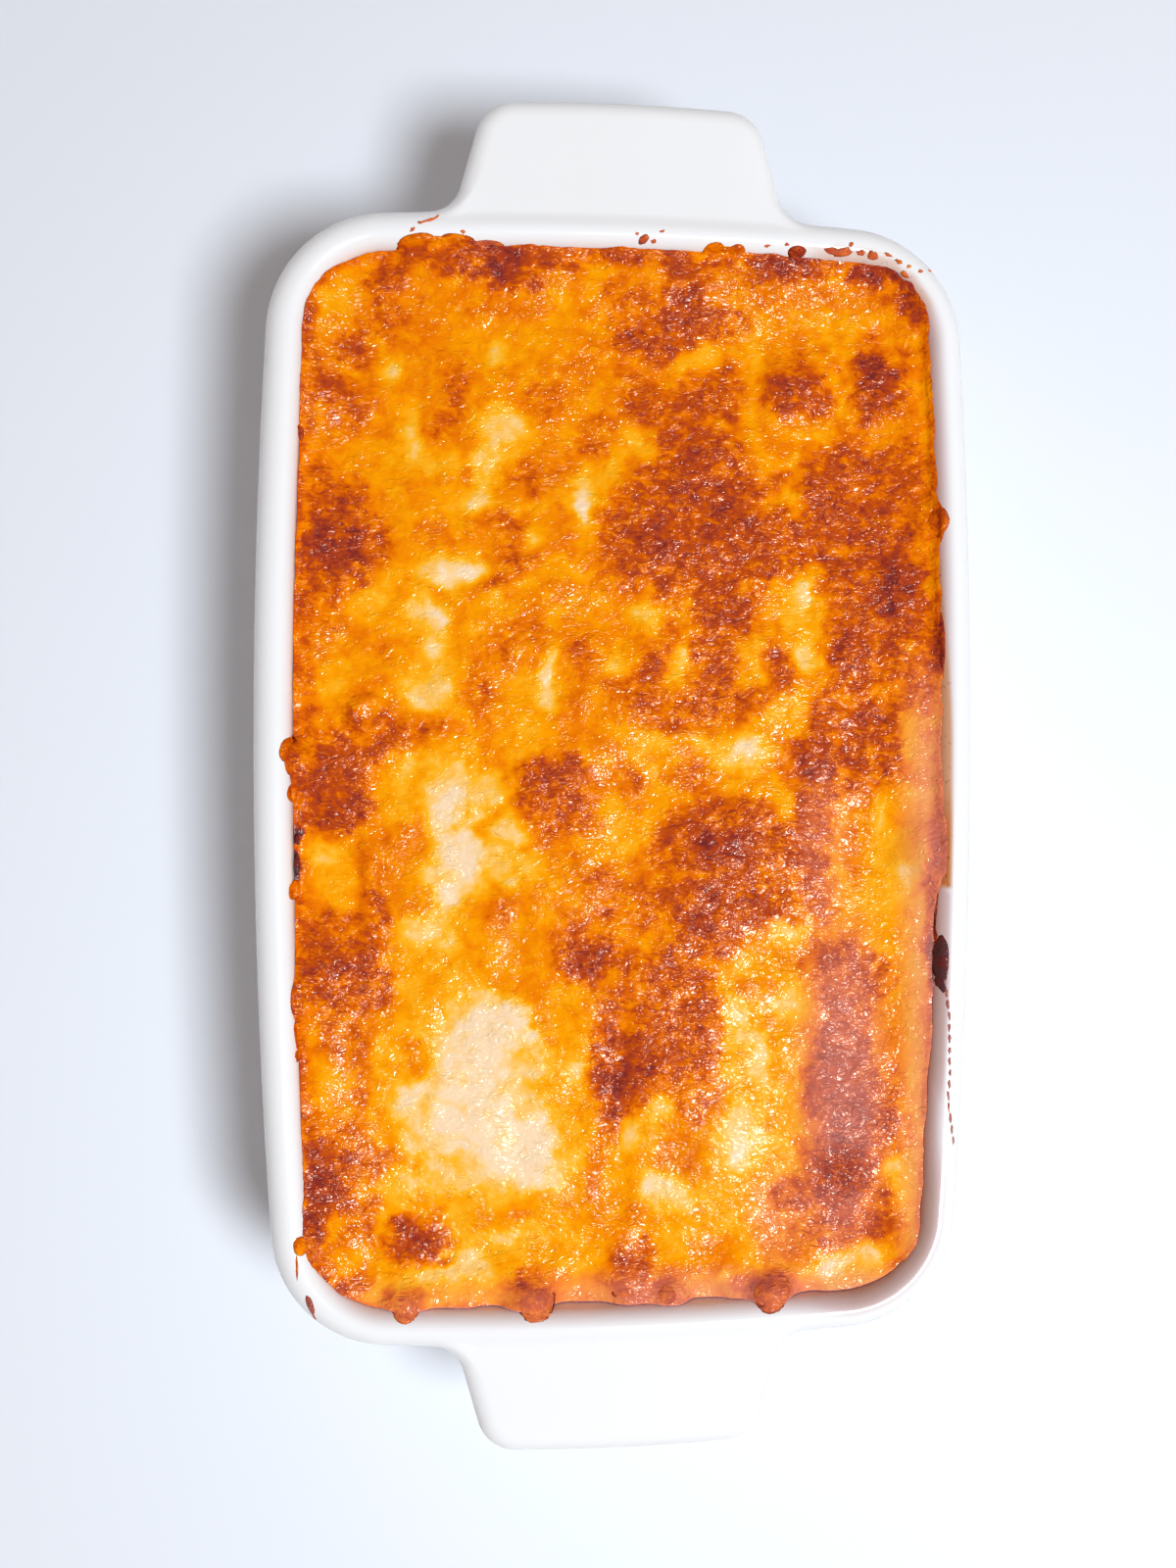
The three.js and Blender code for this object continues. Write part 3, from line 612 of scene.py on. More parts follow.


# %% [markdown]
# What the heat did to the cheese is one number for each point, its tone: 0 is cream where it
# only melted, 0.4 golden, 0.6 deep orange, 0.8 brown, 1 dark brown and 1.4 burnt.
# The tone is painted like a picture, in layers of soft-edged patches, each an ellipse whose rim
# the noise pulls about. The patches are placed one by one, as a food stylist would.

# %% Patches of tone
# Each layer is its tone, its strength, how soft and how ragged its rims are in mm, and its patches.
# Each patch is centre x, centre y, half width and half length in mm, and its turn in degrees if any.
CREAM, PALE, GOLD, AMBER, DEEP = 0.0, 0.14, 0.32, 0.44, 0.58
RUST, BROWN, DARK, MAROON, CHAR = 0.70, 0.80, 0.92, 1.04, 1.40
PATCHES = [
    (GOLD, 0.75, 2.6, 1.6, [
        (-15, 133, 12, 3), (7, 132, 4.5, 2.5), (58, 119, 8, 3), (20, 113, 8, 5, 20), (34.5, 108, 4, 11),
        (45, 91, 11, 5), (59, 106, 3, 9), (46, 75, 5, 6), (71, 90, 5, 3.5), (5, 89, 8, 6), (9, 44, 6, 4),
        (16, 33, 5.5, 8), (0, 33, 4, 6), (51, 44, 6.5, 13), (38.5, 31, 4, 8), (47, 19, 7, 6, 10),
        (30, 9, 11, 8), (5, 12, 8, 6.5), (31, -3, 3, 4.5), (44, -4, 4, 6, 10), (0, -9, 3, 9),
        (4, -18, 4, 7), (11, 3, 4, 6), (68.7, 26, 2, 4.5), (61, 3, 2.4, 5), (82, 5, 5.5, 20),
        (74, -24, 7, 11), (82, -28, 5, 16), (49, -40, 6, 5), (-75, -23, 6, 10), (27, -54, 4, 5),
        (48, -60, 8, 7), (46, -80, 5, 14), (9, -91, 9, 5, 12), (28, -114, 9, 8), (80, -90, 5, 40),
        (14, -118, 10, 8), (-33, -115, 12, 4), (-77, -76, 3, 4), (-75, -117, 4, 4), (-50, -134, 18, 5),
        (30, -135, 20, 4), (65, -134, 14, 4), (-74, 126, 4, 4), (-66, 47, 5, 7), (-76, 28, 5, 5),
        (-30, 48, 7, 4, 20), (-58, -8, 5, 10), (-48, -70, 18, 25), (33, -80, 8, 34), (-45, 0, 8, 34),
        (-52, 88, 9, 9), (-30, 87, 8, 9), (-22, 74, 8, 5), (-6, 83, 5, 8), (-39, 70, 6, 6),
        (-30, -121, 20, 8), (13, -126, 7, 4), (-10, -126, 6, 4), (-26, -127, 7, 3), (82, -52, 3, 10),
        (-57, -112, 5, 4), (47, -97, 4, 6), (40, -101, 8, 8), (-68, -127, 5, 3), (12, -9, 4, 4),
        (-60, -106, 8, 5), (-30, -108, 20, 5), (-12, -76, 4, 8), (-14, -54, 4, 5), (-20, -98, 10, 14),
        (-56, -46, 8, 5),
    ]),
    (PALE, 0.85, 2.6, 1.8, [
        (-61, 107, 2.2, 3), (-34, 112.5, 2, 3), (-33, 94, 6.5, 4.5, -10), (-54.5, 91, 2.2, 7, 18),
        (-35, 86.5, 4.5, 4), (-36, 75.5, 2.2, 3), (-9.5, 75.5, 3, 7, -8), (-23, 66.5, 3, 3),
        (-43, 57, 10, 4.5, 8), (-49.5, 44, 6, 4.2, -25), (-49, 35, 2.6, 6), (-51.5, 25, 6, 4),
        (-20, 31.5, 2.4, 6, -12), (-19.5, 22.5, 2.8, 3), (-57, 3.5, 3, 3), (-36, -2, 5, 5.5),
        (-46, -2, 6, 9), (-43, -21, 8.5, 10.5), (-29.5, -12, 4.5, 4), (-50, -38, 8, 6), (-26, -21, 6, 3),
        (-36, -66, 15, 10), (-38, -84, 18, 17), (-20, -104, 8, 6), (-56, -104, 5, 4), (-33, -22, 6, 7),
        (-38, -26, 4, 5), (-43, 84, 3, 3), (-32, -99, 15, 12), (-45, -101, 9, 8), (-12, -76, 2.5, 3),
        (-24, -76, 6, 6), (-54.5, -83, 5.5, 7), (-56, -93, 3.5, 3), (-45, -128, 9, 4.5),
        (-30, -120, 5, 4), (71.5, 124, 2.5, 2.5), (50, 50, 3, 5), (52, 34, 3, 4), (7.5, 43.5, 3.5, 3),
        (33, 8, 6, 5.5), (21, 9, 3, 3), (18, 34, 2, 4), (-1, 33, 2, 3.5), (78, -24, 3, 4),
        (47, -38, 5, 4), (31.5, -62, 3, 6), (38, -75, 3.4, 8), (33.5, -96, 5, 11), (46, -59, 4, 4),
        (13, -110, 6.5, 5.5), (74, -104, 4, 3, 25), (64, -131.5, 10, 2.6, 6), (2, -94, 3, 3),
        (12, -88, 4, 3), (-77, -17, 3.5, 4), (70, -10, 3, 5),
    ]),
    (CREAM, 0.9, 2.2, 1.8, [
        (-42, 57, 5, 2.5), (-48, 45, 2.5, 2), (-42, -18, 5.5, 7), (-46, -7, 3, 4), (-45, -30, 3.5, 3),
        (-31, -65, 9.5, 6), (-55, -83, 4, 5), (-28, -97, 10, 10), (-38, -88, 11, 11), (-38, -73, 9, 10),
        (-10, 73, 1.5, 3.5), (-20, 31, 1.2, 3, -12), (33, -100, 2.5, 5), (14, -108, 4, 3),
        (58, -129.5, 3, 2), (70, -128.5, 4, 2), (34, 10, 3, 3),
    ]),
    (DEEP, 0.75, 4.2, 1.8, [
        (-57, 121, 4, 4), (-44, 103, 3.2, 6), (-46.5, 93, 4, 4.5), (-68, 83, 3, 2),
        (-20, 101, 7, 4.5, -10), (-8, 125, 4, 2.2), (-10, 113, 4, 4), (-15.5, 86.5, 2.5, 2),
        (-45, 67, 10, 3), (-65.5, 35.5, 4.5, 5), (-32, 35, 7, 5, 20), (-24, 45, 3, 9, -35),
        (-11.5, 21.5, 2.4, 5.5, -25), (-51, 14, 12, 4, 4), (-57.5, -14, 5, 6), (-68, -30, 2.4, 12),
        (-66, -16, 4, 5), (-13, -11, 7, 6), (-8, -24, 8, 5), (-56, -74, 3.5, 3.5), (-68.5, -70, 2.4, 12),
        (-65, -57, 5, 5), (-67, -99, 4, 3), (-7, -108, 2, 10), (-30, 126, 14, 5), (-15, 130, 7, 3),
        (-27, 77, 2.5, 2), (-18, 50, 8, 2.5), (3, -118, 3, 3), (60, 112, 2.5, 4), (-15, -18, 6, 4),
        (-60, -22, 3, 5), (-9, 128, 5, 2.5), (65, -18, 3, 12), (38, -55, 7, 2.5), (-69, -118, 4, 3),
        (-30, -117, 6, 2), (-73, 93, 8, 5), (-56, 118, 8, 4), (-76, 116, 5, 4), (-66, 100, 6, 4),
        (-3, 5, 4, 6), (-75, -66, 4, 6), (3, 130, 8, 4), (45, 129, 14, 3.5), (30, 130, 4, 5),
        (73, 125, 3, 4), (66, -8, 3, 12), (44, 90, 6, 3), (41, 81, 4, 3), (-68, 94, 6, 5),
        (-27, 57, 9, 2.5, 35), (-82.5, -60, 2.5, 40), (-30, 62, 5, 5), (-7.5, 92, 5, 5),
        (29.5, 109, 3, 3), (48, 115, 7, 4), (77, 106, 2.4, 11), (80, 96, 4, 8), (81, 66, 4, 14),
        (25, 2, 4, 3), (2, -31, 6, 7), (15, -16, 5, 4), (55, -15, 3, 7), (17, -98, 5, 8), (21, -86, 6, 6),
        (27, -127.5, 4, 3), (46, -122, 7, 7), (-20, -134.5, 9, 3), (75.5, -74, 2, 16), (56, -50, 6, 8),
        (9, 121, 10, 7), (70, 136, 14, 4.5), (-50, 137, 9, 4.5), (-2, 139.5, 12, 2.2), (80, 2, 5, 1.5),
        (-32, -33, 3.5, 3), (-25, 40, 5, 4),
    ]),
    (RUST, 0.8, 3.4, 2.0, [
        (20, 17, 10, 3.5), (8, 23, 9, 4), (9, 33, 3.5, 5), (43.5, 32, 2.6, 6), (18, 3, 5, 5),
        (66, 4, 3, 8), (5, 0, 3, 3), (38, 47, 2.5, 4), (14, 41, 2, 3), (-44, 103, 2.2, 4.5),
        (-46, 93, 3, 3.5), (-20, 101, 4.5, 3, -10), (-7.5, 91.5, 3.8, 4.5), (-23.5, 81.5, 3.6, 3.2),
        (-31, 63, 3.2, 4.5), (-15, 67, 1.6, 2.6), (-30, 70, 8, 2), (-37, 24, 3.6, 3.4), (-9, 36, 4, 5),
        (-30, 36, 4, 3, 20), (-55, 15, 6, 3), (-63, 12, 5, 3), (-68, 5, 4, 6), (-65.5, -32, 2.2, 8),
        (-69, -72, 1.6, 10), (-16, -10, 6, 5), (-4, -28, 4, 4), (-32, -33, 2.2, 2), (-62, 121, 3, 3),
        (64, 94, 4, 5), (-5, 63, 3, 5), (-83, 98, 1.8, 16), (-83.5, -58, 1.8, 18), (-28, 58, 7, 2, 35),
        (40, 80, 3, 2.5), (14, 51, 5, 3.5), (47, -31, 3, 5), (-68, -112, 4, 3), (48, -112, 4, 4),
        (27, 110, 3, 3), (-80, 84, 4, 3), (-80, -12, 5, 2.5), (-14, -38, 4, 2.5), (22, -66, 5, 12),
        (-41, -138.4, 6, 1.4), (10, 20, 3, 2.5), (-76, 44, 3, 4), (-82.5, 32, 2.2, 20), (-75, -66, 3, 3),
        (4, 107, 6, 4), (-71, 97, 4, 3), (-78, 40, 4, 3), (-83.5, 14, 1.6, 8), (-4, -90, 3, 6),
        (-77, 108, 3, 3), (-67, -100, 3, 4), (5, 124, 6, 6), (5, 115, 6, 5), (18, 104, 16, 5.5),
        (20, -88, 4, 5), (-2, 130, 3, 2), (12, -19, 5, 4), (8, -32, 6, 5), (2, 57, 7, 7), (24, 22, 7, 4),
        (7, 26, 4, 5), (-2, 24, 3, 4), (-2.5, -34, 3, 6), (80, 75, 4, 9), (79, 53, 4, 6),
        (-83, -86, 1.8, 10),
    ]),
    (BROWN, 0.92, 3.4, 2.0, [
        (22, 20, 6, 2.5), (43, 31, 2.5, 5), (54, -29, 4, 8), (56, 14, 5, 6), (10, 31, 2, 3.5),
        (72, 5, 3.5, 5), (-61.5, 131, 3.8, 4.2), (-70, 113, 4.4, 4), (-78, 103.5, 5, 3.8, -15),
        (-82, 120, 2.2, 6), (-42, 137, 9, 4), (-20, 137, 8, 3.5), (-52, 138, 6, 3), (-28, 131, 6, 3),
        (3, 139.5, 10, 2), (-74, 75, 7, 6), (-73.5, 65, 11, 8), (-77, 55, 7.5, 6), (-67, 62, 6, 5),
        (17, 129, 6.5, 10), (20, 123, 11, 4.5), (8, 118, 5, 4), (43, 136, 11, 3.8), (71, 136, 8, 4.5),
        (80, 128, 4, 5, -20), (33, 134, 4, 3), (47, 105, 7.5, 6.5), (70, 106, 6.8, 9), (21, 101, 8, 4),
        (20, 92, 9, 7), (20, 80, 16, 8), (21, 70, 22, 9), (33, 62, 20, 8), (62, 82, 13, 9),
        (64, 70, 13, 9), (10, 60, 9, 8), (28, 50, 8, 8), (27, 35, 6, 11), (30, 41, 5, 4),
        (33, 22, 6, 2.5), (57, 20, 4, 5), (66, 7, 3, 5), (10, 98, 5, 3), (10, 20, 3, 2.5),
        (76, 132, 5, 4), (74, -94, 4, 4), (51, -113, 5, 4), (-76, -36, 7, 2.5), (-79, -128, 3, 4),
        (80, 46, 4, 11), (79, 28, 3, 8), (-76, 10, 7, 4), (-66, 7, 4, 5), (72, -90, 5, 9), (24, 26, 5, 5),
        (66, 55, 10, 8), (68, 44, 10, 9), (64, 32, 6, 10), (74, 34, 4, 7), (68, 16, 8, 8),
        (52, 6, 7, 7, 15), (53, -7, 5, 8), (75, 20, 3, 6), (50, -18, 7, 9), (32, -17, 20, 9),
        (28, -10, 11, 6), (28, -32, 17, 8.5), (25, -42, 9, 5), (14, -50, 8, 6), (13, -60, 12, 7),
        (13, -71, 13, 8), (6, -79, 11, 7), (-3, -74, 4.5, 13), (-8, -46, 8, 5), (1, -56, 3, 6),
        (-17, 1, 8, 4), (-16, -4, 8, 5), (-24, 0, 3, 4), (-70, 6, 4, 5), (-76, 4, 8.5, 8),
        (-75, -5, 9, 5), (-70.5, 17, 2, 5), (-63, 13, 3, 3), (-75, -46, 10, 6), (-72, -53, 10, 6),
        (26, 139, 5, 2), (-79, -100, 5.5, 9), (-82, -110, 2.6, 10), (-72, -98, 3, 4), (-75, -108, 4, 4),
        (-54, -120.5, 7, 5), (-74, -134, 6, 1.8, 42), (-81, -124, 2, 5), (-84.5, -117, 2, 6),
        (28, 87, 5, 5), (84, 24, 2, 8), (12, 53, 5, 3.5), (-24, -136.5, 5.5, 4), (-58, -136.5, 5, 2.5),
        (12, -135.5, 4, 2.5), (2, -131.5, 5, 7.5), (-57, -138.5, 4.5, 2), (61, -50, 7, 6),
        (67, -54, 5, 6), (64, -59, 8, 6), (61, -72, 8, 10), (62, -86, 10, 10), (63, -99, 8, 9),
        (59, -112, 9, 8), (58, -121, 9, 5), (46, 63.5, 14, 5.5), (36, 79, 4, 5), (10, 76, 9, 10),
        (3, 66, 7, 10), (73, 84, 7, 8), (71, -118, 5, 5), (40, -137, 6, 4), (13, -138, 3, 2),
        (86, 70, 3, 4), (85, -18, 2.5, 9), (85.5, -40, 1.6, 11), (-84.5, 68, 1.2, 16), (-84.5, 2, 2, 12),
        (-85, -55, 2.5, 8), (-84, -68, 2, 5),
    ]),
    (DARK, 0.7, 4.0, 3.0, [
        (-33, 136, 8, 4), (-74, 64, 8, 8), (17, 127, 4, 7), (43, 136.5, 9, 3), (71.5, 136, 6, 3),
        (80, 129, 3, 4, -20), (48, 103.5, 4.5, 3.5), (70, 108, 5, 6.5), (24, 78, 10, 6), (10, 67, 6, 5),
        (30, 66, 10, 5), (55, 74, 6, 6), (70, 64, 8, 6), (31, 47, 4, 4), (74, 49, 6, 5), (63, 40, 3, 5),
        (53, 6, 5, 5), (69, 14, 6, 6), (24, 88, 6, 4), (28, -17, 7, 3.5), (26, -37, 8, 4), (4, -74, 4, 5),
        (-3, -79, 4, 6), (-6, -46, 5, 3.5), (-17, 4, 5, 3), (-23, 2, 3, 2.5), (-76, 0, 6, 8),
        (-74, -49, 6, 3), (-80, -104, 4, 8), (-55, -121, 5, 4), (-24, -138, 3, 3), (63, -90, 6, 7),
        (40, -137, 4.5, 3), (70, 116, 4, 2), (57, -78, 4, 10), (75, 56, 7, 12), (63, -80, 7, 16),
        (60, -104, 8, 9), (77, 132, 4, 3), (86.5, 37, 2.5, 6), (87, -20, 2.5, 8), (59, -112, 7, 3),
    ]),
    (MAROON, 0.7, 3.0, 2.4, [
        (-34, 136, 5, 2.5), (-75, 62, 5, 5), (43, 137, 6, 2), (72, 136, 5, 2.5), (68, 111, 4, 3),
        (74, 49, 4, 4), (28, -17, 4, 3), (25, -34, 4, 4), (61, -104, 4, 4.5), (-80, -102, 2.5, 4),
        (-82, -114, 2, 4), (87, 37, 1.5, 5), (52, 5, 3, 3), (0, -80, 3, 3), (64, -92, 3, 5),
        (77, 55, 4, 6), (62, -104, 5, 8),
    ]),
    (CHAR, 0.95, 0.6, 0.8, [
        (87.5, -47, 2.4, 8), (-85, -21, 1.2, 3.2), (-84.8, -14, 0.8, 1.4),
    ]),
]
print(f"{sum(len(layer[-1]) for layer in PATCHES)} patches of tone in {len(PATCHES)} layers")


# %% Paint the tone
OUTSIDE = -30.0
BROWNED_SPREAD = 0.8


def edge_tone(tone, x, y, from_edge):
    """The thin edge that clings to the wall bakes darker."""
    clinging = 1 - film_gone(x, y)
    thin = smoothstep(2.2, 0.2, from_edge + 0.8 * fractal(x, y, 4, 2, 1.5))
    return mix(tone, np.maximum(tone, RUST), 0.85 * thin * clinging)


def tone_field(x, y):
    """The tone at each point. Each patch has a depth: how many mm a point lies inside its rim.
    Depths of one layer join into their highest, noise of a few mm tears the rim, and
    tone = mix(tone, layer's tone, strength * smoothstep(-softness, softness, depth))."""
    bend_x, bend_y = 1.6 * fractal(x, y, 9, 2, 3.1), 1.6 * fractal(x, y, 9, 2, 17.7)
    tear = fractal(x, y, 5.0, 3, 8.4)
    grain = fractal(x, y, 1.3, 2, 2.2)
    tone = AMBER + 0.07 * fractal(x, y, 15, 3, 5.5)
    for layer_tone, strength, softness, raggedness, patches in PATCHES:
        depth = np.full_like(x, OUTSIDE)
        for cx, cy, half_width, half_length, *turn in patches:
            angle = math.radians(turn[0] if turn else 0)
            c, s = math.cos(angle), math.sin(angle)
            dx, dy = x + bend_x - cx, y + bend_y - cy
            across = (dx * c + dy * s) / half_width
            along = (dy * c - dx * s) / half_length
            distance = np.sqrt(across**2 + along**2)
            depth = np.maximum(depth, (1 - distance) * math.sqrt(half_width * half_length))
        if layer_tone > GOLD:
            depth = depth + BROWNED_SPREAD
        depth = depth + raggedness * tear + 0.35 * raggedness * grain
        tone = mix(tone, layer_tone, strength * smoothstep(-softness, softness, depth))
    return tone


print(f"the tone is {tone_field(np.zeros(1), np.zeros(1))[0]:.2f} in the middle of the crust")


# %% [markdown]
# The crust is a fine grid that is drawn in to the bowed outline: each point of a rectangle slides
# along the line to the middle until the rectangle's edge lies on the edge of the crust.
# Under its rounded edge, rings follow the wall of the dish down to a flat base.


# %% Outline of the food
def outline_reach(angle, inset):
    """How far the inset outline reaches from the middle at an angle: the far crossing of a ray
    with the arc that faces it."""
    c, s = np.abs(np.cos(angle)), np.abs(np.sin(angle))
    direction = np.arctan2(s, c)

    def crossing(name):
        """How far along each ray its far crossing with an arc's circle lies."""
        centre, radius = ARCS[name][:2]
        along = centre[0] * c + centre[1] * s
        square = along**2 - centre @ centre + (radius - inset) ** 2
        return along + np.sqrt(np.maximum(square, 0))

    def arc_end_angle(name, turn):
        """The angle, from the middle of the dish, of the point of an inset arc at a turn."""
        centre, radius = ARCS[name][:2]
        x = centre[0] + (radius - inset) * math.cos(turn)
        y = centre[1] + (radius - inset) * math.sin(turn)
        return np.arctan2(y, x)

    side_until = arc_end_angle("side", ARCS["side"][3])
    corner_until = arc_end_angle("end", ARCS["end"][2])
    return np.where(
        direction < side_until,
        crossing("side"),
        np.where(direction < corner_until, crossing("corner"), crossing("end")),
    )


def film_climb(x, y):
    """How far a thin baked film climbs on up the wall from the crust."""
    far = 0.5 * smoothstep(110, 138, y)
    right = 1.6 * smoothstep(60, 80, x) * smoothstep(-38, -20, y)
    climb = 0.5 + np.maximum(far, right) + 0.5 * noise(x / 5, y / 5) + 0.3 * noise(x / 1.7, y / 1.7)
    return climb * (1 - film_gone(x, y))


def edge_inset(angle):
    """The inset of the crust's edge and how far it is rounded. Where it clings, it lies on the
    wall at the film's height, and where it doesn't, its rounded edge rests against the wall."""
    reach = outline_reach(angle, INNER_WALL_INSET)
    x, y = reach * np.cos(angle), reach * np.sin(angle)
    apart = film_gone(x, y)
    z = crust_height(x, y)
    clinging = cavity_inset(np.minimum(z + film_climb(x, y), FILM_TOP)) + FILM_THICKNESS
    resting = cavity_inset(z - RESTING_ROUND * SKIN_ROUNDING) + FILM_THICKNESS
    rounding = SKIN_ROUNDING * mix(CLINGING_ROUND, RESTING_ROUND, apart)
    return mix(clinging, resting, apart), rounding


side_reach = outline_reach(np.zeros(1), INNER_WALL_INSET)[0]
print(f"the wall is {side_reach:.1f} mm from the middle at the side")

# %% Fine relief of the crust
BLISTER = (-65.9, 18.2)


def wrinkles(x, y, size, shift):
    """Ridged noise, 1 - |n|: sharp crests between round hollows, like dried skin."""
    bent_x = x + 0.8 * size * fractal(x, y, size * 2.1, 2, shift + 4)
    bent_y = y + 0.8 * size * fractal(x, y, size * 2.1, 2, shift + 9)
    return 1 - np.abs(fractal(bent_x, bent_y, size, 2, shift))


def fine_relief(x, y, tone):
    """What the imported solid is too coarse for: browned cheese is wrinkled like leather, pale
    cheese lies in soft swellings, and one blister is a ring, exp(-(d - 4.4)^4 / 3.24)."""
    browned = smoothstep(0.5, 0.85, tone)
    leather = 0.34 * (wrinkles(x, y, 3.4, 1.0) - 0.6) + 0.28 * (wrinkles(x, y, 1.9, 6.0) - 0.6)
    melted = 0.20 * fractal(x, y, 6.5, 2, 2.0) + 0.06 * (wrinkles(x, y, 3.0, 3.0) - 0.6)
    ring_distance = np.hypot(x - BLISTER[0], y - BLISTER[1])
    blister = 0.6 * bell((ring_distance - 4.4) ** 2 / 1.8) - 0.4 * bell(ring_distance**2 / 4)
    return mix(melted, leather, browned) + blister


across = np.linspace(-60, 60, 241)
relief = fine_relief(across, np.zeros_like(across), np.full_like(across, BROWN))
print(f"browned cheese is wrinkled from {relief.min():.2f} to {relief.max():.2f} mm")


# %% Make the lasagna
CELLS_X, CELLS_Y = 216, 356
SKIN_STEPS = 4
FLANK_SHARES = (0.06, 0.2, 0.5, 1.0)


def pasta_points():
    """The grid's points and their tone, the points of the rings below it, the border of the grid
    in order, and the grid's numbering."""
    u, v = np.meshgrid(np.linspace(-1, 1, CELLS_X + 1), np.linspace(-1, 1, CELLS_Y + 1))
    angle = np.arctan2(v * DISH_LENGTH / 2, u * DISH_WIDTH / 2)
    inset, rounding = edge_inset(angle)
    edge_reach = outline_reach(angle, inset + rounding)
    reach = edge_reach * np.maximum(np.abs(u), np.abs(v))
    from_edge = edge_reach - reach
    x, y = reach * np.cos(angle), reach * np.sin(angle)
    tone = edge_tone(tone_field(x, y), x, y, from_edge)
    z = crust_height(x, y) + fine_relief(x, y, tone) * smoothstep(0, 2.5, from_edge)
    z = z + film_climb(x, y) * np.clip(1 - from_edge / FILM_REACH, 0, 1) ** 2
    inset = inset_of(x, y)
    over_lip = (inset < INNER_WALL_INSET) & (from_edge < 8)
    z = np.where(over_lip, np.maximum(z, lip_height(inset) + FILM_THICKNESS), z)
    top = np.stack([x, y, z], -1).reshape(-1, 3)
    index = np.arange(len(top)).reshape(z.shape)
    border = np.concatenate([index[0, :-1], index[:-1, -1], index[-1, :0:-1], index[:0:-1, 0]])
    edge_angle, edge_z = angle.ravel()[border], top[border, 2]
    inset, rounding = edge_inset(edge_angle)

    def ring(at_inset, at_z):
        """A loop of points at every edge angle, at an inset and a height."""
        reach = outline_reach(edge_angle, at_inset)
        return np.stack([reach * np.cos(edge_angle), reach * np.sin(edge_angle), at_z], 1)

    rings = []
    for turn in np.linspace(0, math.pi / 2, SKIN_STEPS + 1)[1:]:
        inwards, down = rounding * (1 - math.sin(turn)), rounding * (1 - math.cos(turn))
        rings.append(ring(inset + inwards, edge_z - down))
    skin_z = edge_z - rounding
    for share in FLANK_SHARES:
        z = mix(skin_z, FLOOR_THICKNESS + FLOOR_FILLET, share)
        wall = cavity_inset(z) + FOOD_GAP
        rings.append(ring(np.maximum(mix(inset, wall, min(1, 5 * share)), wall), z))
    base_z = np.full_like(edge_z, FLOOR_THICKNESS + FOOD_GAP)
    rings.append(ring(cavity_inset(FLOOR_THICKNESS) + FOOD_GAP, base_z))
    return top, tone.ravel(), np.vstack(rings), border, index


top, top_tone, rings, border, index = pasta_points()
points = np.vstack([top, rings, [[0, 0, FLOOR_THICKNESS + FOOD_GAP]]])
cells = np.stack([index[:-1, :-1], index[:-1, 1:], index[1:, 1:], index[1:, :-1]], -1).reshape(-1, 4)
ring_starts = np.arange(0, len(rings), len(border)) + len(top)
loops = np.vstack([border] + [start + np.arange(len(border)) for start in ring_starts])
upper, lower = loops[:-1], loops[1:]
flank = np.stack([lower, np.roll(lower, -1, 1), np.roll(upper, -1, 1), upper], -1).reshape(-1, 4)
base = fan(len(points) - 1, loops[-1], turned=True)
pasta = new_piece("crusted_lasagna", points, np.vstack([cells, flank]), base)

# %% [markdown]
# Each point of the mesh carries two numbers for the material. One is its tone. The other draws its
# colour towards a dusty rose tan. Along the right rim, from its middle to its near end, it is that tan.
# Along the near rim, more to the right, and over the dark column and two streaks on the near right,
# it is a painted sheen. On the flank under the clean edge it is painted light against the shade there.
# The rings under the edge take the tone of the border above them, so the flank looks baked too.

# %% Give the lasagna its tone
border_tone = np.maximum(top_tone[border], AMBER)
ring_count = len(rings) // len(border)
point_tone = np.concatenate([top_tone, np.tile(border_tone, ring_count), [DEEP]])
x, y, z = points.T
right_rim = smoothstep(74, 84, x) * smoothstep(40, 5, y)
# Painted sheen along the near rim, stronger to the right, and over the dark column and two streaks on the
# near right.
near_rim_sheen = smoothstep(-129, -138, y) * mix(0.4, 1, smoothstep(-30, 20, x))
sheen_column = spot(x, y, 61, -84, 12, 42) * (1 - 0.85 * spot(x, y, 61, -106, 8, 8))
sheen_streaks = spot(x, y, 44, -118, 8, 15) + spot(x, y, 56, -16, 7, 20)
tanned = np.maximum(0.5 * np.maximum(right_rim, near_rim_sheen), 0.45 * sheen_column + 0.17 * sheen_streaks)
# Painted light: the flank rings under the clean edge, where shade falls, are drawn fully to the rosy tan.
tanned[len(top):] = np.maximum(tanned[len(top):], clean_edge(x, y)[len(top):])
add_attribute(pasta, "tone", point_tone)
add_attribute(pasta, "tanned", tanned)

# %% [markdown]
# A material in Blender is a web of nodes. Two small classes let the web be written as sums.
# A Number wraps a socket, so that 1 - mask adds the Math node that does it. A Finish holds one
# material, and its node method makes every other kind of node.


# %% Sums on sockets
class Number:
    """A value that changes over a surface. Its operators add Math nodes to the finish."""

    def __init__(self, finish, socket):
        self.finish = finish
        self.socket = socket

    def math(self, operation, first, second=0.0, clamp=False):
        """A Math node on two values."""
        settings = {"operation": operation, "use_clamp": clamp}
        made = self.finish.node("Math", settings, {0: first, 1: second})
        return Number(self.finish, made.outputs[0])

    def __add__(self, other):
        return self.math("ADD", self, other)

    def __sub__(self, other):
        return self.math("SUBTRACT", self, other)

    def __rsub__(self, other):
        return self.math("SUBTRACT", other, self)

    def __mul__(self, other):
        return self.math("MULTIPLY", self, other)

    def clamped(self):
        """The value, held between 0 and 1."""
        return self.math("ADD", self, 0.0, clamp=True)

    def step(self, start, end):
        """0 before start and 1 past end."""
        made = self.finish.node(
            "MapRange",
            {"interpolation_type": "SMOOTHSTEP"},
            {"Value": self, "From Min": start, "From Max": end},
        )
        return Number(self.finish, made.outputs[0])

    __radd__ = __add__
    __rmul__ = __mul__


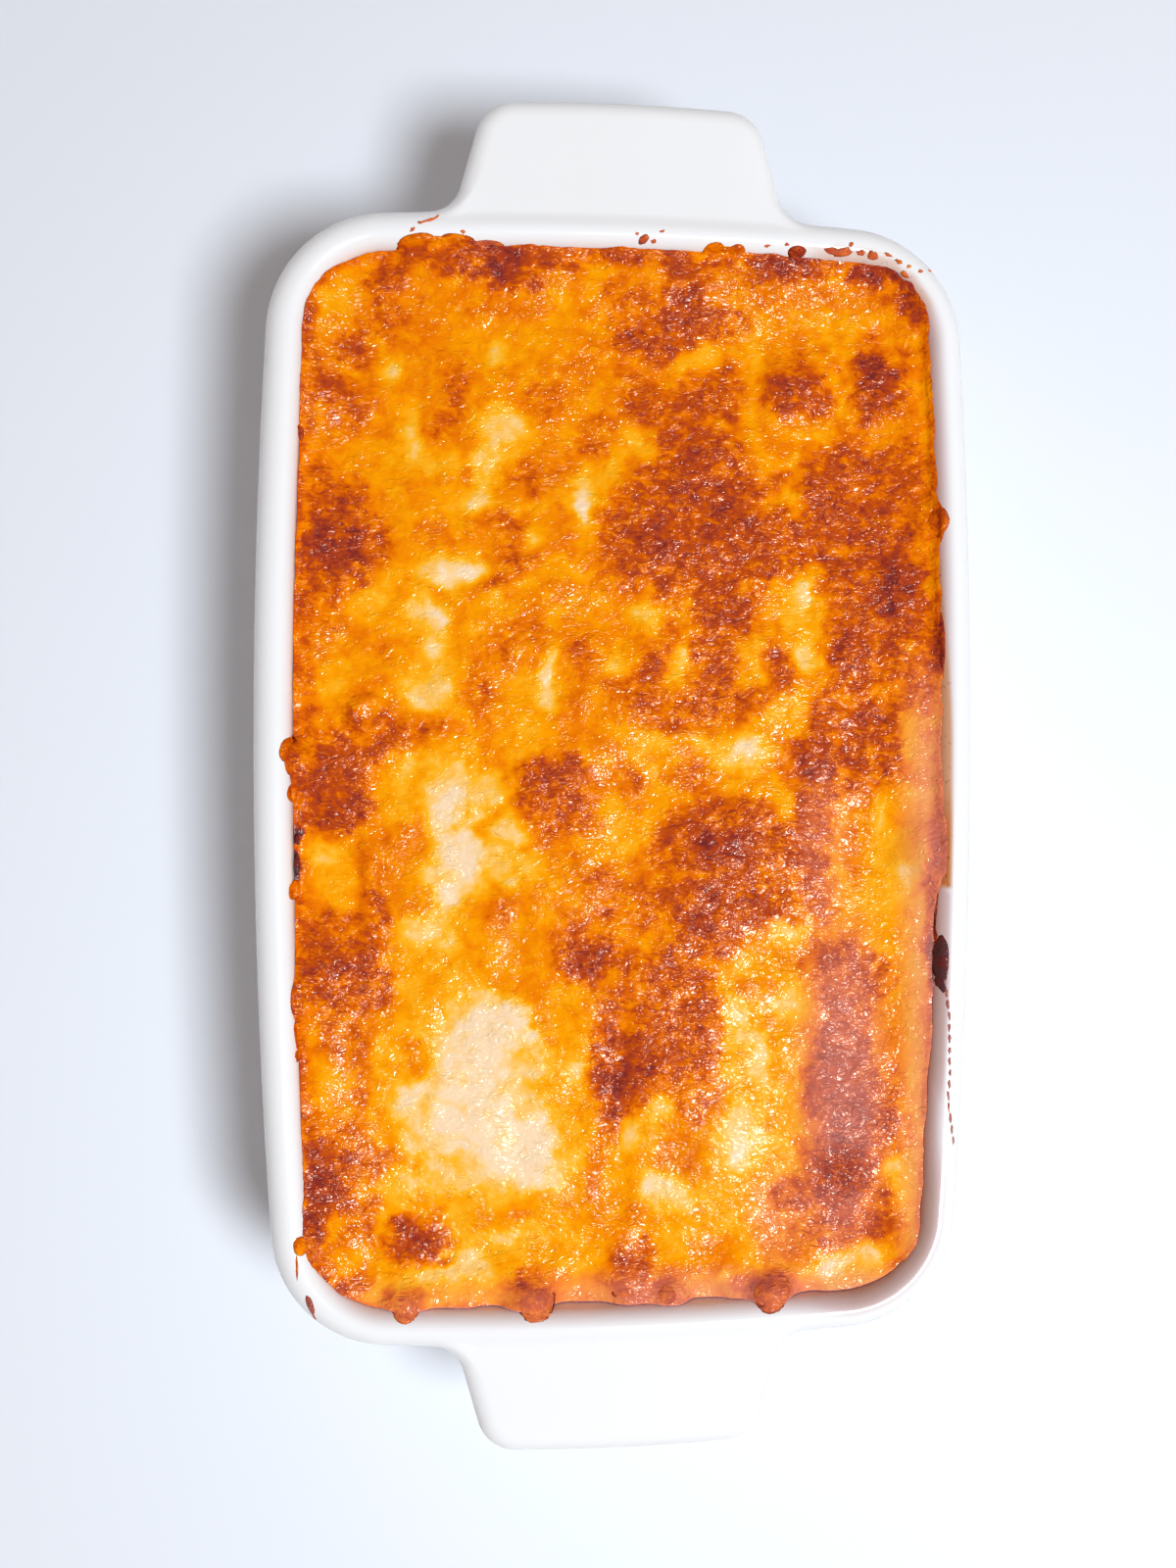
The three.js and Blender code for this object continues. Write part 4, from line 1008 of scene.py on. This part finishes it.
# %% One material
class Finish:
    """One material: its nodes, and the shader that they end in."""

    def __init__(self, name):
        self.material = bpy.data.materials.new(name)
        self.material.use_nodes = True
        self.tree = self.material.node_tree
        self.shader = self.tree.nodes["Principled BSDF"]
        self.place = self.node("TexCoord").outputs["Object"]

    def node(self, kind, settings=None, sockets=None):
        """A new node. Settings are its own, and sockets are values or links by name or number."""
        made = self.tree.nodes.new("ShaderNode" + kind)
        for name, value in (settings or {}).items():
            if name == "stops":
                self.set_stops(made.color_ramp, value)
            else:
                setattr(made, name, value)
        for name, value in (sockets or {}).items():
            self.feed(made.inputs, name, value)
        return made

    def feed(self, inputs, name, value):
        """Gives a socket, known by name or number, a value or a link."""
        named = (s for s in inputs if s.enabled and name in (s.identifier, s.name))
        found = inputs[name] if isinstance(name, int) else next(named)
        if isinstance(value, Number):
            value = value.socket
        if isinstance(value, bpy.types.NodeSocket):
            self.tree.links.new(value, found)
        else:
            found.default_value = value

    def set_stops(self, ramp, stops):
        """Gives a colour ramp its places and colours."""
        while len(ramp.elements) < len(stops):
            ramp.elements.new(1.0)
        for element, (position, colour) in zip(ramp.elements, stops):
            element.position = position
            element.color = linear(colour)

    def attribute(self, name):
        """The number that the points of the mesh carry under a name."""
        return Number(self, self.node("Attribute", {"attribute_name": name}).outputs["Fac"])

    def noise(self, size, detail=2.0, roughness=0.5, distortion=0.0, turn=0.0, stretch=1.0):
        """Noise from 0 to 1 with features of a size in mm, drawn out along a direction."""
        place = self.place
        if stretch != 1.0:
            rotation = (0, 0, math.radians(-turn))
            sockets = {"Vector": place, "Rotation": rotation, "Scale": (1 / stretch, 1, 1)}
            place = self.node("Mapping", {}, sockets).outputs[0]
        sockets = {
            "Vector": place,
            "Scale": 1 / (size * MM),
            "Detail": detail,
            "Roughness": roughness,
            "Distortion": distortion,
        }
        return Number(self, self.node("TexNoise", {}, sockets).outputs["Fac"])

    def blend_colours(self, share, first, second):
        """The first colour where the share is 0, the second where it is 1."""
        made = self.node(
            "Mix",
            {"data_type": "RGBA"},
            {"Factor_Float": share, "A_Color": first, "B_Color": second},
        )
        return next(s for s in made.outputs if s.identifier == "Result_Color")

    def set(self, **values):
        """Sockets of the shader, with _ for a space in their names."""
        for name, value in values.items():
            self.feed(self.shader.inputs, name.replace("_", " "), value)


# %% From screen colours to light
def linear(colour):
    """A colour as 0 to 255 on a screen, turned into light: roughly its 2.2nd power."""
    share = np.array(colour) / 255
    light = np.where(share <= 0.04045, share / 12.92, ((share + 0.055) / 1.055) ** 2.4)
    return (*(float(c) for c in light), 1.0)


print(f"screen grey 128 is {linear((128, 128, 128))[0]:.2f} of the light of white")

# %% [markdown]
# Sauce and fat bake on to the inner wall. The right wall has a tan film, deeper at its near end,
# which stops short in a straight line. Along the near wall and the whole right wall, a painted shade
# greys the lip towards the crust and fades out up the wall. It is deepest in the near right corner,
# and rosy low on the near part of the right wall, for light thrown back from the crust.
# A painted picture would need the dish unwrapped. Two numbers on each point, one for the stain and
# one for the painted shade, do without: over 1 they turn each from its first colour to its second.

# %% Stains and painted shade on the inner wall
STAINED_ABOVE = 48
SHADE_ABOVE = 40
x, y, z = dish_points.T
inset = inset_of(x, y)
tan_reach = smoothstep(67, 61, y + 2 * noise(z / 2, x)) * smoothstep(-28.2, -27.2, y) * (x > 0)
tan_rim = mix(6.1, 8.2, smoothstep(10, 66, y))
tan_band = smoothstep(tan_rim, tan_rim + 1.2, inset) * (z > STAINED_ABOVE)
deeper = 1 + smoothstep(2, -14, y)
far_film = smoothstep(46, 56, x) * smoothstep(120, 130, y) * (z > STAINED_ABOVE)
far_film = far_film * smoothstep(5.8, 7.4, inset + 0.8 * noise(x / 3, y / 3))
# Painted shade: the lip of the near and right walls, which face away from the light, greys towards the
# crust, deepest in the near right corner.
near_side = smoothstep(-122, -136, y) * smoothstep(-80, -66, x) * mix(0.48, 1, smoothstep(50, 66, x))
corner_share = smoothstep(-92, -112, y) * smoothstep(40, 66, x)
wall_shade_side = np.maximum(1.15 * smoothstep(60, 84, x), near_side) + 0.85 * corner_share
wall_shade_band = smoothstep(mix(4.6, 3.4, corner_share), mix(9.4, 8.0, corner_share), inset)
# Painted shade, deeper and rosy for light thrown back from the crust, low on the near part of the right
# wall.
rosy_shade_band = smoothstep(5.4, 7.6, inset) * smoothstep(-28.2, -29.2, y) * smoothstep(-98, -74, y)
rosy_shade_band = rosy_shade_band * mix(0.7, 1, smoothstep(-38, -54, y)) * (x > 0)
stain = np.maximum(tan_reach * tan_band * deeper, 0.5 * far_film)
oiled = np.maximum(wall_shade_side * wall_shade_band, 1.6 * rosy_shade_band) * (z > SHADE_ABOVE)
add_attribute(dish, "stain", stain)
add_attribute(dish, "oiled", oiled)

# %% [markdown]
# The glaze is white glass over clay: smooth, glossy, very slightly warm. Plain white reads as
# plastic, so it varies by a hair in colour, and its surface ripples where the glaze ran.
# The foot ring is wiped before firing, so the clay shows there, matt and pale buff.

# %% Glaze
glaze = Finish("white_glaze")
cloud = glaze.noise(60, 2)
white = glaze.blend_colours(cloud, linear((243, 241, 241)), linear((247, 246, 247)))
height = Number(glaze, glaze.node("SeparateXYZ", {}, {"Vector": glaze.place}).outputs["Z"])
bare = height.step(1.2 * MM, 0.5 * MM)
# Painted shade on the lip by the crust: grey, and past 1 rosy for light thrown back from the crust.
oiled = glaze.attribute("oiled")
wall_shade_colour = glaze.blend_colours((oiled - 1).clamped(), linear((212, 184, 184)), linear((184, 146, 134)))
shaded_glaze = glaze.blend_colours(oiled.clamped() * 0.9, white, wall_shade_colour)
stain = glaze.attribute("stain")
scorched = glaze.noise(1.2, 2, distortion=0.5).step(0.62, 0.70) * 0.7
tan = glaze.blend_colours((stain - 1).clamped(), linear((214, 160, 122)), linear((198, 116, 62)))
tan = glaze.blend_colours(scorched, tan, linear((120, 64, 30)))
coated = glaze.blend_colours(stain.clamped(), shaded_glaze, tan)
bump = glaze.node("Bump", {}, {"Strength": 0.15, "Distance": 0.3 * MM, "Height": glaze.noise(9, 2)})
glaze.set(
    Base_Color=glaze.blend_colours(bare, coated, linear((214, 203, 186))),
    Roughness=bare * 0.6 + 0.14,
    Normal=bump.outputs[0],
    IOR=1.5,
    Specular_IOR_Level=0.3,
)
dish.data.materials.append(glaze.material)
print(f"the glaze has {len(glaze.tree.nodes)} nodes")

# %% [markdown]
# Browned cheese is one run of colour, from cream through gold and orange to brown and black.
# So the material looks its colour up on a ramp by the tone, stirred by grain finer than the mesh.
# Oil stands on it, so it is glossy, most where it only melted, and wrinkles break the gloss up.

# %% Crust
crust = Finish("baked_cheese")
tone = crust.attribute("tone")
browned = tone.step(0.50, 0.85)
seared = tone.step(0.42, 0.66)
first = crust.noise(1.6, 1.5, 0.5, distortion=1.3, turn=50, stretch=1.8)
second = crust.noise(1.6, 1.5, 0.5, distortion=1.3, turn=-35, stretch=1.8)
which = crust.noise(16, 1).step(0.44, 0.56)
strands = first + (second - first) * which
mottle = crust.noise(4.2, 2, 0.5, distortion=0.4) - 0.5
strand_share = seared * 0.34 + browned * 0.32 + 0.06
stirred = tone + mottle * (seared * 0.30 + 0.40) - (strands - 0.5) * strand_share - browned * 0.03
# A ramp runs from 0 to 1, so tones are divided by the span of tones that it holds.
TONE_SPAN = 1.5
TONE_COLOURS = [
    (0.00, (250, 216, 176)),
    (0.12, (252, 204, 128)),
    (0.25, (254, 181, 36)),
    (0.38, (253, 158, 0)),
    (0.50, (244, 132, 0)),
    (0.62, (230, 110, 0)),
    (0.75, (200, 80, 8)),
    (0.88, (176, 64, 26)),
    (1.00, (150, 50, 34)),
    (1.15, (118, 38, 36)),
    (1.40, (84, 54, 58)),
]
stops = [(at / TONE_SPAN, colour) for at, colour in TONE_COLOURS]
ramp = crust.node("ValToRGB", {"stops": stops}, {"Fac": stirred * (1 / TONE_SPAN)})

# %% Gloss and relief of the crust
gathered = crust.noise(6, 2).step(0.44, 0.60) * (seared * 0.30 + 0.70)
relief = strands * (browned * 0.15 + gathered * 0.55 + 0.45) + crust.noise(4.5, 2, 0.5) * 0.18
bump = crust.node("Bump", {}, {"Strength": 1.0, "Distance": 0.8 * MM, "Height": relief})
# The rosy tan that the mesh's second number mixes in is the colour of the crumbs, the dashes and the
# right rim, and elsewhere a painted sheen and painted light.
tan_and_sheen_colour = crust.blend_colours(crust.attribute("tanned"), ramp.outputs[0], linear((224, 140, 126)))
crust.set(
    Base_Color=tan_and_sheen_colour,
    Roughness=browned * 0.05 + 0.10,
    Normal=bump.outputs[0],
    Specular_IOR_Level=0.10,
    Specular_Tint=(1.0, 0.86, 0.68, 1),
)
pasta.data.materials.append(crust.material)
print(f"the crust has {len(crust.tree.nodes)} nodes")

# %% [markdown]
# Lumps of cheese swelled over the edge and baked on to the lip, and crumbs and splashes stuck to
# the rim. Each is a low dome on an uneven oval, laid on whatever is under it.
# Separate objects would be slow to place. They are one mesh, because a crumb needs few faces and
# none of them moves.

# %% Places of the lumps and crumbs
# centre x, centre y, half length, half width, turn in degrees, thickness, tone
BITS = np.array([
    (-57.2, -137.8, 3.9, 3.4, 0, 1.2, 0.7), (-22.6, -138, 5.4, 4.4, 0, 1.6, 0.72),
    (12.8, -137.2, 3, 3.2, 0, 1.1, 0.74), (40.5, -137.6, 5, 4.6, 8, 1.6, 0.76),
    (44, -136.6, 3.4, 3, 30, 1.3, 0.74), (2, -136.4, 4, 1.8, 5, 0.8, 0.76),
    (24.2, 140.4, 3, 1.8, 10, 1.2, 0.7), (30.4, 140.2, 2.4, 1.8, 0, 1.3, 0.68),
    (27.4, 139.8, 3.2, 1.6, 0, 0.9, 0.72), (46.4, 140.6, 2.4, 1.4, 0, 1, 1),
    (5.4, 142.4, 1.5, 1, 30, 0.8, 0.92), (8, 142, 0.6, 0.5, 0, 0.4, 0.8),
    (10.2, 144.4, 0.7, 0.4, 20, 0.3, 0.75), (3.6, 143.6, 0.5, 0.4, 0, 0.3, 0.8),
    (38.2, 141.7, 0.8, 0.4, 0, 0.4, 0.7), (43.4, 142.2, 0.6, 0.4, 0, 0.4, 0.9),
    (55.6, 141, 2, 0.8, -10, 0.6, 0.8), (58.8, 140.8, 2.4, 1, 10, 0.6, 0.74),
    (60.6, 142.6, 0.8, 0.5, 40, 0.4, 0.78), (63.4, 140.6, 1.1, 0.6, 0, 0.4, 0.78),
    (66.6, 140.2, 1.6, 0.9, -15, 0.6, 0.82), (70.8, 140.2, 1.1, 0.5, -20, 0.4, 0.74),
    (73.6, 138.6, 1.2, 0.6, -30, 0.4, 0.76), (76.4, 137.4, 0.8, 0.5, 0, 0.3, 0.74),
    (79.6, 136.2, 0.7, 0.6, 0, 0.3, 0.8), (83, 137, 0.9, 0.5, 20, 0.3, 0.7),
    (75.4, 135.4, 1.3, 0.6, -35, 0.4, 0.78), (-53.6, 139.7, 5.2, 2.2, 10, 1.1, 0.69),
    (-48, 139.9, 5, 1.5, 0, 0.8, 0.71), (-42.4, 140.2, 5, 1.9, -8, 1, 0.71),
    (-41.6, 142.6, 0.7, 0.5, 0, 0.4, 0.7), (-54.6, 142.8, 0.8, 0.4, 40, 0.4, 0.7),
    (-50.4, 145.4, 2, 0.45, 20, 0.5, 0.72), (-48.2, 146.6, 1.1, 0.35, 40, 0.4, 0.7),
    (-52.6, 144.6, 0.7, 0.4, 0, 0.4, 0.76), (-35.6, 139.6, 5, 1.2, 0, 0.6, 0.78),
    (-86.8, 9.4, 3.4, 2.2, 75, 1.1, 0.68), (-86, 5.6, 4.2, 1.8, 100, 1, 0.74),
    (-86, -2, 2.4, 1.2, 90, 0.8, 0.66), (-85.6, -27.4, 2.6, 1.4, 85, 0.9, 0.66),
    (-85, -21, 2.8, 0.8, 92, 0.6, 1.35), (-84.8, -14.4, 1.3, 0.6, 90, 0.4, 1.25),
    (-85, -65, 4, 0.8, 94, 0.6, 0.76), (-84.8, -70.6, 2, 0.7, 90, 0.5, 0.78),
    (-83.4, 91.6, 2.2, 0.8, 88, 0.5, 0.84), (-84.2, -119.8, 2.6, 2, 100, 0.9, 0.6),
    (-85.2, -124.8, 3.4, 0.35, 92, 0.3, 0.76), (-81.9, -135.4, 3, 0.9, 105, 0.8, 0.96),
    (-81, -139, 1.4, 0.35, 110, 0.3, 0.9), (85.5, 70.6, 3.7, 2.5, 90, 1.8, 0.74),
    (86, 37.5, 9.5, 1.5, 92, 0.8, 0.98), (86.2, -12, 5, 1.1, 90, 0.5, 0.95),
    (85.7, -24, 14, 1.1, 91, 0.6, 0.86), (85.2, -38, 9, 1.1, 91, 0.6, 0.94),
    (87, -47.4, 6.4, 1.8, 88, 0.8, 1.36), (87, -52.4, 3.4, 1.3, 96, 0.5, 1.3),
])

# %% A burnt line of short dashes, which runs on from the char along the right wall
DASH_HALF_WIDTH = 0.40
DASH_TURN = 92
DASH_THICKNESS = 0.25
dash_y = np.arange(-56.5, -98.5, -3.1)
dash_x = np.interp(-dash_y, (54.4, 62.7, 78.7, 86.2, 98.4), (87.9, 89.0, 89.2, 88.7, 90.8))
dash_length = 1.35 + 0.35 * noise(dash_y, dash_x)
dash_tone = 1.25 + 0.12 * noise(dash_y, dash_y)
half_width, turn, thickness = (
    np.full_like(dash_y, size) for size in (DASH_HALF_WIDTH, DASH_TURN, DASH_THICKNESS)
)
dashes = np.stack([dash_x, dash_y, dash_length, half_width, turn, thickness, dash_tone], 1)
BITS = np.vstack([BITS, dashes])
print(f"{len(BITS)} bits, {len(dashes)} of them dashes")


# %% Make the lumps and crumbs
def bits_points(bits, rings=6, around=20):
    """For each bit, rings of points at radius r from 1 to 0 on an oval with a wavy rim, wavier on
    a thin bit. Their height is that of the ground plus thickness * (1 - r^2)."""
    cx, cy, half_length, half_width, turn, thickness, _ = (bits[:, k, None, None] for k in range(7))
    number = np.arange(len(bits))[:, None, None]
    radius = np.linspace(1, 1 / rings, rings)[None, :, None]
    angle = np.linspace(0, 2 * math.pi, around, endpoint=False)[None, None, :]
    ragged = mix(0.06, 0.34, smoothstep(0.9, 0.45, thickness))
    wave = 1 + ragged * noise(2.2 * np.cos(angle) + 7 * number, 2.2 * np.sin(angle))
    dx = half_length * radius * wave * np.cos(angle)
    dy = half_width * radius * wave * np.sin(angle)
    c, s = np.cos(np.radians(turn)), np.sin(np.radians(turn))
    x, y = cx + dx * c - dy * s, cy + dx * s + dy * c
    dome = thickness * (1 - radius**2 + 0.15 * noise(x / 1.1, y / 1.1) * (1 - radius))
    top = np.stack([x, y, rest_height(x, y) + dome], -1)
    centre_x, centre_y = bits[:, 0], bits[:, 1]
    ground = rest_height(centre_x, centre_y)
    middle = np.stack([centre_x, centre_y, ground + bits[:, 5]], -1)
    under = np.stack([centre_x, centre_y, ground - 0.5], -1)
    return top, middle, under


top_rings, middles, unders = bits_points(BITS)
count, ring_number, around = top_rings.shape[:3]
per_bit = ring_number * around + 2
bit_points = np.concatenate([top_rings.reshape(count, -1, 3), middles[:, None], unders[:, None]], 1)
one_bit_quads = ring_quads(ring_number, around)
one_bit_fans = np.vstack([
    fan(per_bit - 2, np.arange(around) + (ring_number - 1) * around),
    fan(per_bit - 1, np.arange(around), turned=True),
])
starts = (np.arange(count) * per_bit)[:, None, None]
bits = new_piece(
    "baked_bits",
    bit_points.reshape(-1, 3),
    (one_bit_quads + starts).reshape(-1, 4),
    (one_bit_fans + starts).reshape(-1, 3),
    crust.material,
)
at_y, half_width, thickness, bit_tone = BITS[:, 1], BITS[:, 3], BITS[:, 5], BITS[:, 6]
small_crumb = (half_width < 1.3) & (at_y > 130)
bit_tanned = 0.25 * (at_y < -130) + 0.15 * small_crumb + 0.5 * (thickness == DASH_THICKNESS)
add_attribute(bits, "tone", np.repeat(bit_tone - 0.07 * small_crumb, per_bit))
add_attribute(bits, "tanned", np.repeat(bit_tanned, per_bit))

# %% [markdown]
# The table is left out but for a plain pale floor, which takes the shadow.

# %% Floor
FLOOR_HALF_SIZE = 3000.0
FLOOR_DROP = 0.1
floor_corners = np.array([[-1, -1, 0], [1, -1, 0], [1, 1, 0], [-1, 1, 0]]) * FLOOR_HALF_SIZE
floor_corners = floor_corners - [0, 0, FLOOR_DROP]
floor = new_piece("floor", floor_corners, np.array([[0, 1, 2, 3]]), np.zeros((0, 3), int))
table_top = Finish("pale_floor")
table_top.set(Base_Color=linear((232, 235, 242)), Roughness=0.6)
floor.data.materials.append(table_top.material)

# %% [markdown]
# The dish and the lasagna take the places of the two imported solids, and the bits lie on both. All
# three ride on the one body of the part, which has no joint.

# %% Ride, replace and finish
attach(dish, "root")
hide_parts("baking_dish")
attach(pasta, "root")
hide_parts("lasagna")
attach(bits, "root")
